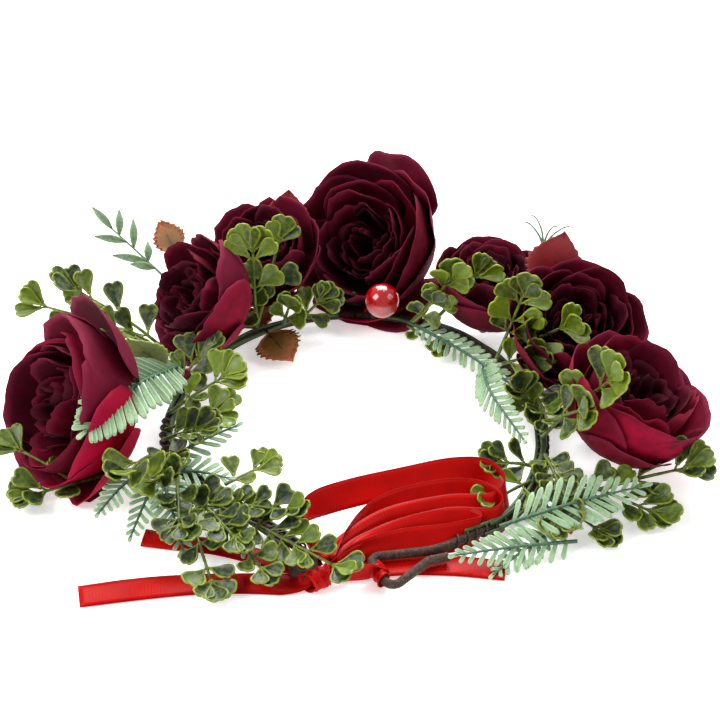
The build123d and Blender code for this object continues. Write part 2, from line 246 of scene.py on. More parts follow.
def cover(
    tree: bpy.types.NodeTree,
    shader: bpy.types.Node,
    colour: bpy.types.NodeSocket,
    height: bpy.types.NodeSocket,
    strength: float,
    depth_mm: float,
) -> None:
    """Give the shader its colour and its relief.

    Args:
        tree: The material's node tree.
        shader: The surface shader.
        colour: Its colour.
        height: The relief's height.
        strength: How strongly the relief shows.
        depth_mm: How deep it is.
    """
    links = {"Height": height, "Strength": strength, "Distance": depth_mm * MM}
    bump = add_node(tree, "ShaderNodeBump", links)
    tree.links.new(colour, shader.inputs["Base Color"])
    tree.links.new(bump.outputs[0], shader.inputs["Normal"])


# ---------------------------------------------------------------- finishes
@dataclass(frozen=True)
class Finish:
    """A real material and how its surface was made."""

    name: str
    slot: str
    roughness: float
    ior: float = 1.46

    def material(self) -> bpy.types.Material:
        """Give the finish's material, made at its first use."""
        ready = bpy.data.materials.get(self.name)
        if ready:
            return ready
        made = bpy.data.materials.new(self.name)
        made.use_nodes = True
        shader = made.node_tree.nodes["Principled BSDF"]
        shader.inputs["Roughness"].default_value = self.roughness
        shader.inputs["IOR"].default_value = self.ior
        self.paint(made.node_tree, shader)
        return made

    def paint(self, tree: bpy.types.NodeTree, shader: bpy.types.Node) -> None:
        """Colour the shader and give it its grain.

        Args:
            tree: The material's node tree.
            shader: Its surface shader.
        """
        raise NotImplementedError


@dataclass(frozen=True)
class PetalCloth(Finish):
    """Polyester petal cloth, dyed, cut and pressed with hot balls.

    To the eye: a dull woven burgundy, darker in the folds and the inner petals as painted shade,
    brighter on lit petals as painted light, and paler and pinkish at the thin rim, where a painted
    glow stands for the light that comes through it.
    """

    # deep to bright spans the dye, with painted shade at its deep end and painted light at its
    # bright end; pale is the painted glow of light through the thin rim
    deep: str = "#1A0008"
    middle: str = "#5E001A"
    bright: str = "#A8002E"
    pale: str = "#7E2440"
    thread_mm: float = 0.8  # real threads are 0.25 mm apart; drawn coarser so that they show
    mottle_mm: float = 7.0

    def paint(self, tree: bpy.types.NodeTree, shader: bpy.types.Node) -> None:
        """Dye each petal with painted light and shade, paint a glow of light through its rim, and
        weave on its own flat pattern.
        """
        place = add_node(tree, "ShaderNodeTexCoord").outputs["Object"]
        flat = add_node(tree, "ShaderNodeUVMap", uv_map="flat").outputs[0]
        blotch = cloud(tree, place, self.mottle_mm, 3.0)
        shift = rescale(tree, blotch, (0.3, 0.7), (-0.13, 0.13))
        depth = reckon(tree, "ADD", attribute(tree, "tone_and_shade"), shift)
        stops = [(0.0, self.deep), (1.0, self.bright), (0.5, self.middle)]
        dye_and_painted_light = add_node(tree, "ShaderNodeValToRGB", {"Fac": depth}, stops=stops).outputs[0]
        threads = [bands(tree, flat, self.thread_mm, way, 0.6) for way in ("X", "Y")]
        weave = reckon(tree, "MULTIPLY", *threads)
        show = rescale(tree, weave, (0.0, 1.0), (0.75, 1.1))
        # painted light: the glow of light through the thin rim, mixed over the dyed cloth
        thin = reckon(tree, "MULTIPLY", attribute(tree, "rim"), show, clamp=True)
        cover(tree, shader, mingle(tree, thin, dye_and_painted_light, srgb(self.pale)), weave, 0.25, 0.15)
        shader.inputs["Specular IOR Level"].default_value = 0.12


@dataclass(frozen=True)
class MouldedPlastic(Finish):
    """Injection-moulded polyethylene foliage, tinted in the melt and sprayed at its rims.

    To the eye: satin leaves, deeper green in the middle, with a yellowish raised rim.
    """

    deep: str = "#142A12"
    middle: str = "#62780E"
    rim: str = "#9CAA2C"
    grain_mm: float = 2.2
    bump_mm: float = 0.12

    def paint(self, tree: bpy.types.NodeTree, shader: bpy.types.Node) -> None:
        """Tint each leaf, darker as painted shade on the sprigs underneath, spray its rim and
        roughen it as the mould does.
        """
        place = add_node(tree, "ShaderNodeTexCoord").outputs["Object"]
        grain = cloud(tree, place, self.grain_mm, 2.0)
        shift = rescale(tree, grain, (0.3, 0.7), (-0.15, 0.15))
        # each leaf's own tone, with painted shade on the darker sprigs underneath
        depth = reckon(tree, "ADD", attribute(tree, "tone_and_shade"), shift, clamp=True)
        spray = reckon(tree, "ADD", attribute(tree, "rim"), shift, clamp=True)
        leaf = mingle(tree, depth, srgb(self.deep), srgb(self.middle))
        cover(tree, shader, mingle(tree, spray, leaf, srgb(self.rim)), grain, 0.5, self.bump_mm)


@dataclass(frozen=True)
class SatinRibbon(Finish):
    """Woven polyester satin ribbon with a firm edge thread.

    To the eye: a bright red with a soft sheen, fine ribs across it and two plain edges.
    """

    face: str = "#C00A05"
    shade: str = "#620304"
    rib_mm: float = 1.1  # real ribs are 0.3 mm apart; drawn coarser so that they show
    width_mm: float = 13.0
    edge_mm: float = 0.9
    streak_mm: float = 9.0

    def paint(self, tree: bpy.types.NodeTree, shader: bpy.types.Node) -> None:
        """Rib the ribbon along its length and bind its two edges."""
        flat = add_node(tree, "ShaderNodeUVMap", uv_map="flat").outputs[0]
        ribs = bands(tree, flat, self.rib_mm, "Y", 0.8)
        split = add_node(tree, "ShaderNodeSeparateXYZ", {0: flat}).outputs[0]
        border = self.width_mm * MM / 2 - self.edge_mm * MM
        span = (border, border + 0.4 * self.edge_mm * MM)
        edge = rescale(tree, reckon(tree, "ABSOLUTE", split), span)
        streak = reckon(tree, "MULTIPLY_ADD", cloud(tree, flat, self.streak_mm, 1.0), 0.45, 0.0)
        depth = reckon(tree, "MULTIPLY_ADD", edge, 0.35, streak, clamp=True)
        colour = mingle(tree, depth, srgb(self.face), srgb(self.shade))
        cover(tree, shader, colour, reckon(tree, "MAXIMUM", ribs, edge), 0.35, 0.12)
        shader.inputs["Specular IOR Level"].default_value = 0.1


@dataclass(frozen=True)
class TwistedPaper(Finish):
    """Brown florist's paper tape, stretched and wound on the wire.

    To the eye: a dull dark brown with fine creases along and across it.
    """

    deep: str = "#241612"
    worn: str = "#5A4132"
    crease_mm: float = 1.4

    def paint(self, tree: bpy.types.NodeTree, shader: bpy.types.Node) -> None:
        """Crease the tape and lighten its worn ridges."""
        place = add_node(tree, "ShaderNodeTexCoord").outputs["Object"]
        crease = cloud(tree, place, self.crease_mm, 4.0, Distortion=1.5)
        stops = [(0.4, self.deep), (0.72, self.worn)]
        colour = add_node(tree, "ShaderNodeValToRGB", {"Fac": crease}, stops=stops).outputs[0]
        cover(tree, shader, colour, crease, 0.8, 0.3)


@dataclass(frozen=True)
class Lacquer(Finish):
    """Sprayed gloss lacquer over a foam core.

    To the eye: a deep clear red with sharp highlights and the faintest orange peel.
    """

    colour: str = "#A80009"
    shade: str = "#8E0007"
    peel_mm: float = 3.0

    def paint(self, tree: bpy.types.NodeTree, shader: bpy.types.Node) -> None:
        """Tint the lacquer with a slow cloud and cover it with a clear coat."""
        place = add_node(tree, "ShaderNodeTexCoord").outputs["Object"]
        peel = cloud(tree, place, self.peel_mm, 1.0)
        stops = [(0.3, self.shade), (0.7, self.colour)]
        colour = add_node(tree, "ShaderNodeValToRGB", {"Fac": peel}, stops=stops).outputs[0]
        cover(tree, shader, colour, peel, 0.1, 0.1)
        shader.inputs["Coat Weight"].default_value = 1.0
        shader.inputs["Coat Roughness"].default_value = 0.04


@dataclass(frozen=True)
class FloorPaper(Finish):
    """Matte studio background paper.

    To the eye: an even near-white with no grain.
    """

    colour: str = "#FBFBFB"
    glow: float = 0.45

    def paint(self, tree: bpy.types.NodeTree, shader: bpy.types.Node) -> None:
        """Give the paper its one colour, and light it from below as on a light table."""
        shader.inputs["Base Color"].default_value = srgb(self.colour)
        shader.inputs["Emission Color"].default_value = srgb(self.colour)
        shader.inputs["Emission Strength"].default_value = self.glow


PETAL = PetalCloth("woven_petal_cloth", "petal_fabric", 0.78)
# A darker copy of the petal cloth for the bloom's heart: painted shade in its hollow.
HEART_PAINTED_SHADE = PetalCloth(
    "heart_cloth_painted_shade", "heart_fabric", 0.85, deep="#0C0003", middle="#2A0009", bright="#500014",
    pale="#5A1024"
)
LEAF_CLOTH = PetalCloth(
    "pinked_leaf_cloth", "leaf_fabric", 0.8, deep="#3E0A10", middle="#8E1420", bright="#B02028",
    pale="#B4585A"
)
BOXWOOD = MouldedPlastic("moulded_boxwood", "boxwood_plastic", 0.42)
FERN = MouldedPlastic(
    "frosted_fern", "fern_plastic", 0.6, deep="#3A5E44", middle="#6C9068", rim="#A8C49A",
    grain_mm=1.2, bump_mm=0.2
)
RUSSET = MouldedPlastic(
    "russet_leaf", "russet_plastic", 0.55, deep="#26300E", middle="#6A4A16", rim="#A0562A",
    grain_mm=3.0
)
OLIVE = MouldedPlastic(
    "olive_leaf_plastic", "olive_plastic", 0.6, deep="#3C4E20", middle="#6E7E34", rim="#A0AA5C",
    grain_mm=1.6
)
STEM = MouldedPlastic(
    "green_stem_plastic", "green_plastic", 0.5, deep="#1C2E18", middle="#3E5A2C", rim="#7A8A4A",
    grain_mm=1.5
)
TWIG = MouldedPlastic(
    "blue_green_twig", "twig_plastic", 0.5, deep="#24402C", middle="#3E6444", rim="#8CA070",
    grain_mm=1.5
)
BUD = MouldedPlastic(
    "plum_bud", "bud_plastic", 0.25, deep="#3A0216", middle="#6A0428", rim="#A02048", grain_mm=3.0
)
SATIN = SatinRibbon("red_satin_ribbon", "satin_ribbon", 0.38)
PAPER = TwistedPaper("brown_paper_tape", "wrapping_paper", 0.8)
BINDING = TwistedPaper(
    "brown_binding_wire", "binding_wire", 0.45, deep="#1E100C", worn="#4A3024", crease_mm=0.8
)
STEEL = TwistedPaper(
    "drawn_steel_wire", "steel_wire", 0.35, deep="#6E6E70", worn="#9A9A9C", crease_mm=0.4
)
BERRY = Lacquer("red_berry_lacquer", "berry_lacquer", 0.2)
BACKDROP = FloorPaper("white_background_paper", "", 0.9)


# ---------------------------------------------------------------- forming
def frame_at(origin: Vector, along: Vector, facing: Vector) -> Matrix:
    """Place a local frame: x along a direction, z as near to facing as that allows.

    Args:
        origin: The frame's origin.
        along: Its x direction.
        facing: Where its z direction leans.

    Returns:
        The 4 x 4 placing matrix.
    """
    x_way = along.normalized()
    z_way = (facing - x_way * facing.dot(x_way)).normalized()
    y_way = z_way.cross(x_way)
    turned = Matrix((x_way, y_way, z_way)).transposed().to_4x4()
    return Matrix.Translation(origin) @ turned


def smooth_line(points: Sequence[Vector], count: int) -> list[Vector]:
    """Run a smooth line through points.

    Args:
        points: The points, at least two.
        count: How many stations to give.

    Returns:
        Stations from the first point to the last.
    """
    ends = [2 * points[0] - points[1], *points, 2 * points[-1] - points[-2]]
    line = []
    for step in range(count):
        place = step / (count - 1) * (len(points) - 1)
        leg = min(int(place), len(points) - 2)
        t = place - leg
        a, b, c, d = ends[leg : leg + 4]
        line.append(
            0.5 * (
                2 * b + (c - a) * t + (2 * a - 5 * b + 4 * c - d) * t**2
                + (3 * b - a - 3 * c + d) * t**3
            )
        )
    return line


@dataclass
class Former:
    """One piece's mesh in the making, with its tint and rim values and its flat pattern."""

    name: str
    bm: bmesh.types.BMesh = field(default_factory=bmesh.new)

    def __post_init__(self) -> None:
        """Add the layers that the finishes read."""
        self.tone_and_shade = self.bm.verts.layers.float.new("tone_and_shade")
        self.rim = self.bm.verts.layers.float.new("rim")
        self.flat = self.bm.loops.layers.uv.new("flat")
        self.square = self.bm.verts.layers.float_vector.new("square")

    def blade(
        self,
        form: Form,
        cells: tuple[int, int],
        size: tuple[float, float],
        wall: float,
        tone_and_shade: float,
        rim: Shade = lambda u, v: 0.0,
    ) -> None:
        """Press a grid into a thin sheet and give it its thickness.

        Args:
            form: Gives the place of u, from -1 to 1 across, and v, from 0 to 1 along.
            cells: Cells across and along.
            size: Width and length of the flat pattern, in metres.
            wall: Thickness in metres.
            tone_and_shade: Depth of its colour, from 0 to 1; on petals and on the sprigs underneath
                it is painted light and shade.
            rim: Gives how much of the rim's colour a place has; on petal cloth that colour is a
                painted glow of light.
        """
        made = bmesh.ops.create_grid(
            self.bm, x_segments=cells[0], y_segments=cells[1], size=1.0
        )["verts"]
        pattern = {vert: (vert.co.x, (vert.co.y + 1) / 2) for vert in made}
        faces = list({face for vert in made for face in vert.link_faces})
        for face in faces:
            face.smooth = True
            for loop in face.loops:
                u, v = pattern[loop.vert]
                loop[self.flat].uv = (u * size[0] / 2, v * size[1])
        for vert, (u, v) in pattern.items():
            vert[self.tone_and_shade] = tone_and_shade
            vert[self.rim] = rim(u, v)
            vert.co = form(u, v)
        self.thicken(made, faces, wall)

    def thicken(
        self, made: Sequence[bmesh.types.BMVert], faces: Sequence[bmesh.types.BMFace], wall: float
    ) -> None:
        """Give a pressed sheet its thickness, square to its own surface.

        Args:
            made: The sheet's vertices.
            faces: Its faces.
            wall: Its thickness in metres.
        """
        for face in faces:
            face.normal_update()
        for vert in made:
            vert.normal_update()
            vert[self.square] = vert.normal
        lifted = bmesh.ops.extrude_face_region(
            self.bm, geom=list(faces), use_keep_orig=True
        )["geom"]
        for part in lifted:
            if isinstance(part, bmesh.types.BMVert):
                part.co += part[self.square] * wall

    def tube(
        self,
        spine: Sequence[Vector],
        radius: Callable[[float], float],
        tone_and_shade: float,
        rim: float = 0.0,
        sides: int = 8,
    ) -> None:
        """Roll a grid round a line into a closed rod.

        Args:
            spine: The stations that it follows.
            radius: Gives its radius in metres at a share of its length.
            tone_and_shade: Depth of its colour.
            rim: How much of the rim's colour it has.
            sides: Sides of its section.
        """
        last = len(spine) - 1
        ways = [
            (spine[min(i + 1, last)] - spine[max(i - 1, 0)]).normalized() for i in range(last + 1)
        ]
        side_way = ways[0].orthogonal().normalized()
        frames = []
        for way in ways:
            side_way = (side_way - way * side_way.dot(way)).normalized()
            frames.append((side_way, way.cross(side_way)))
        rows = last + 2
        made = bmesh.ops.create_grid(self.bm, x_segments=sides, y_segments=rows, size=1.0)["verts"]
        length = sum((spine[i + 1] - spine[i]).length for i in range(last))
        for vert in made:
            angle = (vert.co.x + 1) * pi
            row = round((vert.co.y + 1) / 2 * rows)
            station = min(max(row - 1, 0), last)
            reach = 0.0 if row in (0, rows) else radius(station / last)
            out, over = frames[station]
            for loop in vert.link_loops:
                loop[self.flat].uv = (angle / tau * 0.01, station / last * length)
            vert[self.tone_and_shade] = tone_and_shade
            vert[self.rim] = rim
            vert.co = spine[station] + (out * cos(angle) + over * sin(angle)) * reach
        for face in {face for vert in made for face in vert.link_faces}:
            face.smooth = True
        bmesh.ops.remove_doubles(self.bm, verts=made, dist=1e-7)

    def stem(
        self,
        spine: Sequence[Vector],
        radius: Callable[[float], float],
        tone_and_shade: float,
        rim: float = 0.0,
        sides: int = 7,
    ) -> None:
        """Roll a stem round a line, both in millimetres.

        Args:
            spine: The stations that it follows.
            radius: Gives its radius at a share of its length.
            tone_and_shade: Depth of its colour.
            rim: How much of the rim's colour it has.
            sides: Sides of its section.
        """
        self.tube([spot * MM for spot in spine], lambda t: radius(t) * MM, tone_and_shade, rim, sides)

    def ball(
        self, centre: Vector, radius: float, tone_and_shade: float, rim: float = 0.0, detail: int = 2
    ) -> None:
        """Add a small ball.

        Args:
            centre: Its centre.
            radius: Its radius in metres.
            tone_and_shade: Depth of its colour.
            rim: How much of the rim's colour it has.
            detail: Subdivisions.
        """
        made = bmesh.ops.create_icosphere(
            self.bm, subdivisions=detail, radius=radius, matrix=Matrix.Translation(centre)
        )["verts"]
        for vert in made:
            vert[self.tone_and_shade] = tone_and_shade
            vert[self.rim] = rim
        for face in {face for vert in made for face in vert.link_faces}:
            face.smooth = True

    def piece(
        self, finish: Finish, body: Optional[Body], nodes: Sequence[str] = ()
    ) -> bpy.types.Object:
        """Close the mesh and put the piece on its body.

        Args:
            finish: The piece's finish.
            body: The body that it moves with, or None for a piece that spans two and is put on
                neither.
            nodes: The measured solids that it stands for.

        Returns:
            The finished object, at the origin.
        """
        bmesh.ops.recalc_face_normals(self.bm, faces=self.bm.faces)
        self.bm.verts.layers.float_vector.remove(self.square)
        mesh = bpy.data.meshes.new(self.name)
        self.bm.to_mesh(mesh)
        self.bm.free()
        mesh.materials.append(finish.material())
        made = bpy.data.objects.new(self.name, mesh)
        bpy.context.scene.collection.objects.link(made)
        if body:
            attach(made, body.value)
        if nodes:
            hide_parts(*nodes)
        LOG.info("%s: %d faces", self.name, len(mesh.polygons))
        return made


# ---------------------------------------------------------------- hoop
@dataclass
class HoopHalf:
    """One half of the hoop's centreline: front arc, side arc, corner arc and straight arm."""

    body: Body
    turn: int
    side_turn: float
    corner_radius: float
    corner_turn: float
    arm: float
    height: float = 5.0
    front_y: float = 111.3
    front_radius: float = 81.0
    side_radius: float = 108.0
    shoulder: float = 45.0

    def stations(self) -> list[tuple[float, float]]:
        """Give the length and the curvature of each stretch, from the front, in millimetres."""
        return [
            (self.front_radius * radians(self.shoulder), 1 / self.front_radius),
            (self.side_radius * radians(self.side_turn), 1 / self.side_radius),
            (self.corner_radius * radians(self.corner_turn), 1 / self.corner_radius),
            (self.arm, 0.0),
        ]

    def trace(self, start: float, end: float, step: float = 1.0) -> list[tuple[Vector, Vector]]:
        """Walk along the centreline.

        Args:
            start: Distance from the front to the first station, in millimetres.
            end: Distance to the last one.
            step: Distance between stations.

        Returns:
            Place in millimetres and direction at each station.
        """
        heading = pi if self.turn > 0 else 0.0
        place = Vector((0.0, self.front_y, self.height))
        walked = 0.0
        found = []
        for length, curvature in self.stations():
            count = max(int(length / step), 1)
            stride = length / count
            for _ in range(count):
                if start <= walked <= end:
                    found.append((place.copy(), Vector((cos(heading), sin(heading), 0))))
                heading += self.turn * curvature * stride / 2
                place += Vector((cos(heading), sin(heading), 0)) * stride
                heading += self.turn * curvature * stride / 2
                walked += stride
        return found

    def length(self) -> float:
        """Length of the centreline down to the end of the arm, in millimetres."""
        return sum(length for length, _ in self.stations())


@dataclass
class Hoop:
    """The wrapped wire, the thin wire wound over it and the stems under that."""

    halves: tuple[HoopHalf, HoopHalf]
    nodes: dict[str, bpy.types.Object]
    coil_radius: float = 2.3
    slack: float = 0.7
    coil_wire: float = 0.55
    pitch: float = 5.4
    stem_radius: float = 0.95
    coil_run: float = 130.0  # how far the wire is wound, back from the end of the arm
    coil_stop: float = 8.0  # bare stretch at the end of the arm
    coil_step: float = 0.5  # between stations of the wound wire
    stem_ring: float = 2.0  # where the stems touch the wrapping

    def dress(self) -> None:
        """Give the measured hoop its finishes and wind the binding over it."""
        for side in ("left", "right"):
            for node, finish in ((f"paper_wrap_{side}", PAPER), (f"core_wire_{side}", STEEL)):
                mesh = self.nodes[node].data
                mesh.materials.clear()
                mesh.materials.append(finish.material())
        for side, half in zip(("left", "right"), self.halves):
            self.wind(side, half)
            self.lay_stems(side, half)

    def wind(self, side: str, half: HoopHalf) -> None:
        """Wind the thin wire round one arm.

        Args:
            side: left or right.
            half: The half's centreline.
        """
        dice = random.Random(f"wind {side}")
        former = Former(f"binding_coil_{side}")
        whole = half.length()
        walk = half.trace(whole - self.coil_run, whole - self.coil_stop, self.coil_step)
        coil = []
        angle = dice.uniform(0, tau)
        reach = self.coil_radius
        for place, way in walk:
            angle += self.coil_step / self.pitch * tau * dice.uniform(0.6, 1.4)
            reach += (self.coil_radius + dice.uniform(0.0, 0.3) - reach) * 0.12
            side_way = way.cross(Vector((0, 0, 1)))
            around = side_way * cos(angle) + Vector((0, 0, 1)) * sin(angle)
            coil.append((place + around * (reach + self.slack * max(0.0, sin(angle)))) * MM)
        former.tube(coil, lambda t: self.coil_wire * MM, 0.5, sides=5)
        former.piece(BINDING, half.body, [f"binding_wire_{side}"])

    def lay_stems(self, side: str, half: HoopHalf) -> None:
        """Lay the cut stems of the sprays along one half.

        Args:
            side: left or right.
            half: The half's centreline.
        """
        dice = random.Random(f"stems {side}")
        former = Former(f"bound_stems_{side}")
        whole = half.length()
        for start, end in (
            (8, 95), (30, 140), (70, 190), (115, whole - 25), (150, whole - 12),
            (whole - 90, whole - 20)
        ):
            base = dice.uniform(0, tau)
            spine = []
            for index, (place, way) in enumerate(half.trace(start, min(end, whole), 4.0)):
                angle = base + 0.7 * noise.noise(Vector((index * 0.15, base, 0)))
                side_way = way.cross(Vector((0, 0, 1)))
                around = side_way * cos(angle) + Vector((0, 0, 1)) * abs(sin(angle))
                spine.append((place + around * (self.stem_ring + self.stem_radius)) * MM)
            former.tube(spine, lambda t: self.stem_radius * MM, dice.uniform(0.2, 0.9), sides=7)
        former.piece(STEM, half.body)


# ---------------------------------------------------------------- blooms
@dataclass(frozen=True)
class Petal:
    """One petal of a bloom. Lengths are shares of the bloom's radius, angles in degrees."""

    azimuth: float
    spread: float
    cup: float
    middle: float = 0.15
    turn: float = 100.0
    curl: float = 0.08
    lean: float = 0.0
    ruffle: float = 0.06
    # painted light and shade: how brightly the petal is lit, from its shaded depth to its lit face
    tone_and_shade: float = 0.5
    # painted light: how much the rim glows with light through the cloth
    pale: float = 0.3
    ragged: float = 0.02
    # painted light: a glow of light through the whole face of the petal
    veil: float = 0.0


@dataclass
class Bloom:
    """A cloth peony: whorls of pressed petals, a heart darkened with painted shade, sepals and
    stem.
    """

    name: str
    body: Body
    centre: Point
    opens: Point
    faces: Point
    radius: float
    seed: int
    guards: Sequence[Petal] = ()
    # painted shade over all the bloom's petals; below 0 it brightens them as painted light
    shade: float = 0.0
    whorls: tuple[tuple[int, float, float, float], ...] = (
        (5, 0.82, 0.20, 106.0), (5, 0.66, 0.22, 104.0), (6, 0.50, 0.18, 102.0),
        (5, 0.34, 0.12, 98.0),
    )
    fullness: float = 1.16
    base: float = -0.84
    petal_wall: float = 0.4
    floor: float = 0.9  # lowest height that a petal may have, in millimetres
    heart_petals: int = 14

    def build(self) -> None:
        """Make the bloom's petals, heart and sepals."""
        ahead = Vector(self.faces).normalized()
        right_way = Vector((1, 0, 0)) - ahead * ahead.x
        self.place = frame_at(Vector(self.centre) * MM, right_way, ahead)
        self.size = self.radius * self.fullness * MM
        self.dice = random.Random(self.seed)
        self.make_petals()
        self.make_heart()
        self.make_sepals()

    def petal_form(self, petal: Petal, phase: float) -> Form:
        """Give the place of a petal's grid on its cup.

        Args:
            petal: The petal.
            phase: Where its ruffles start.

        Returns:
            The form of the petal, in the frame's axes.
        """
        size = self.size
        turned = radians(petal.turn)

        def form(u: float, v: float) -> Vector:
            rag = noise.noise(Vector((u * 9, 3.1, phase))) * petal.ragged
            t = v * (1 - 0.30 * abs(u) ** 3 + rag)
            psi = t * turned
            reach = petal.cup * sin(psi)
            height = petal.middle - (petal.middle - self.base) * cos(psi)
            curl = max(0.0, (t - 0.72) / 0.28) ** 2
            wave = noise.noise(Vector((u * 2.2, t * 1.3, phase)))
            crease = noise.noise(Vector((u * 5.0, t * 1.5, phase + 7)))
            reach += petal.curl * curl + petal.lean * t * t + 0.045 * u
            reach += petal.ruffle * wave * t**2 + 0.014 * crease
            height += 0.9 * petal.ruffle * noise.noise(Vector((u * 3.0, 5.5, phase))) * t**3
            height -= 0.5 * abs(petal.curl) * curl + 0.35 * petal.lean * t * t
            width = 0.26 + 0.74 * sin(min(t / 0.72, 1.0) * pi / 2)
            angle = radians(petal.azimuth) + u * radians(petal.spread) * width
            spot = self.place @ Vector(
                (reach * cos(angle) * size, reach * sin(angle) * size, height * size)
            )
            low = self.floor * MM + 0.12 * max(0.0, self.floor * MM - spot.z)
            spot.z = max(spot.z, low)
            return spot

        return form

    def make_petals(self) -> None:
        """Make the guard petals and the inner whorls."""
        former = Former(f"{self.name}_bloom")
        petals = list(self.guards)
        for count, cup, middle, turn in self.whorls:
            start = self.dice.uniform(0, 360)
            for index in range(count):
                azimuth = start + 360 / count * index + self.dice.uniform(-12, 12)
                petals.append(self.chance_petal(azimuth, 205 / count + 8, cup, middle, turn, 0.05))
        for petal in petals:

            # painted light: the glow of light through the cloth, along the far rim and sides, and
            # over the face of a glowing petal
            def rim(u: float, v: float, petal: Petal = petal) -> float:
                edge = max(v**9, (abs(u) ** 8) * v)
                return min(1.0, max(petal.pale * edge * 1.5, petal.veil * (0.4 + 0.6 * v)))

            length = 2.0 * petal.cup * self.size
            former.blade(
                self.petal_form(petal, self.dice.uniform(0, 50)),
                (16, 14),
                (length * 0.9, length),
                self.petal_wall * MM,
                # painted light and shade: the petal's own value, less the bloom's painted shade
                min(1.0, max(0.0, petal.tone_and_shade - self.shade)),
                rim,
            )
        former.piece(PETAL, self.body, [f"{self.name}_petals"])

    def chance_petal(
        self, azimuth: float, spread: float, cup: float, middle: float, turn: float, curl: float
    ) -> Petal:
        """Make a petal that differs a little from its neighbours.

        Args:
            azimuth: Where it stands, in degrees.
            spread: Half of its width, in degrees.
            cup: Radius of its cup.
            middle: Height of the cup's widest level.
            turn: How far it rises round its cup, in degrees.
            curl: How far its rim curls out.

        Returns:
            The petal.
        """
        dice = self.dice
        return Petal(
            azimuth,
            spread * dice.uniform(0.85, 1.15),
            cup * dice.uniform(0.94, 1.04),
            middle + dice.uniform(-0.08, 0.08),
            turn + dice.uniform(-8, 8),
            curl * dice.uniform(0.2, 1.8),
            dice.uniform(-0.05, 0.06),
            dice.uniform(0.05, 0.11),
            # painted shade: the smaller, inner cups come out darker, and their rims glow less
            dice.uniform(0.2, 0.85) * cup**1.6,
            dice.uniform(0.1, 0.6) * cup,
            dice.uniform(0.01, 0.06),
        )

    def make_heart(self) -> None:
        """Make the crumpled inner petals, in a darker copy of the petal cloth that paints the shade
        in the bloom's hollow.
        """
        former = Former(f"{self.name}_inner")
        for index in range(self.heart_petals):
            ring = 0.12 + 0.13 * (index % 3)
            petal = Petal(
                index * GOLDEN_ANGLE,
                52,
                ring + 0.06,
                0.10,
                self.dice.uniform(92, 112),
                self.dice.uniform(-0.04, 0.05),
                0.0,
                self.dice.uniform(0.08, 0.13),
                self.dice.uniform(0.1, 0.8),
                self.dice.uniform(0.1, 0.7),
                0.05,
            )
            former.blade(
                self.petal_form(petal, self.dice.uniform(0, 50)),
                (10, 9),
                (0.4 * self.radius * MM, 0.8 * self.radius * MM),
                self.petal_wall * MM,
                petal.tone_and_shade,
                # painted light: a glow of light through the rim of each inner petal
                lambda u, v, p=petal.pale: p * v**8,
            )
        former.piece(HEART_PAINTED_SHADE, self.body, [f"{self.name}_heart"])

    def make_sepals(self) -> None:
        """Make the green cup under the petals, with its pointed sepals and its stem."""
        former = Former(f"{self.name}_sepals")
        size = self.radius * MM
        low = frame_at(
            Vector(self.centre) * MM, Vector(self.opens).orthogonal(), Vector(self.opens)
        )
        for index in range(5):
            azimuth = index * tau / 5

            def form(u: float, v: float, azimuth: float = azimuth) -> Vector:
                reach = 0.07 + 0.36 * v
                height = -1.02 + 0.10 * v + 0.20 * v * v
                angle = azimuth + u * 0.75 * (1 - v) ** 0.7
                return low @ (Vector((reach * cos(angle), reach * sin(angle), height)) * size)

            former.blade(form, (6, 7), (8 * MM, 10 * MM), 0.7 * MM, 0.6, lambda u, v: 0.3 * v)
        lo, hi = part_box(f"{self.name}_calyx")
        hub = low @ (Vector((0, 0, -0.97)) * size)
        tip = low @ (Vector((0, 0, -1.0)) * size - Vector((0, 0, 4.5 * MM)))
        former.tube(
            smooth_line([hub, (hub + tip) / 2, tip], 6),
            lambda t: (0.2 * size * (1 - t) + 1.6 * MM), 0.4, 0.1, 10
        )
        middle = (Vector(lo) + Vector(hi)) / 2
        end = tip + (middle - tip) * 1.6
        end.z = max(min(end.z, Vector(hi).z), Vector(lo).z + 1 * MM)
        former.tube(smooth_line([tip, (tip + end) / 2, end], 6), lambda t: 1.0 * MM, 0.3, 0.0, 8)
        former.piece(STEM, self.body, [f"{self.name}_calyx"])


# ---------------------------------------------------------------- foliage
@dataclass(frozen=True)
class Sprig:
    """Where one spray, frond or leaf lies: start, tip and the way it faces, in millimetres."""

    start: Point
    tip: Point
    face: Point
    pairs: int = 0
    scale: float = 1.0
    bare: float = 0.3
    # the leaves' own tone; sprigs near 0 lie underneath as painted shade among the dense leaves
    tone_and_shade: float = 0.5
    bow: float = 0.0


@dataclass
class Foliage:
    """The sprigs of one node, in one plastic."""

    name: str
    body: Body
    sprigs: Sequence[Sprig]
    part: ClassVar[str]
    finish: ClassVar[Finish]

    def build(self) -> None:
        """Make every sprig of the node."""
        former = Former(f"{self.name}_{self.part}")
        dice = random.Random(self.name)
        for sprig in self.sprigs:
            self.grow(former, sprig, dice)
        former.piece(self.finish, self.body, [self.name])

    def grow(self, former: Former, sprig: Sprig, dice: random.Random) -> None:
        """Grow one sprig.

        Args:
            former: The mesh in the making.
            sprig: Where it lies.
            dice: Chance.
        """
        raise NotImplementedError


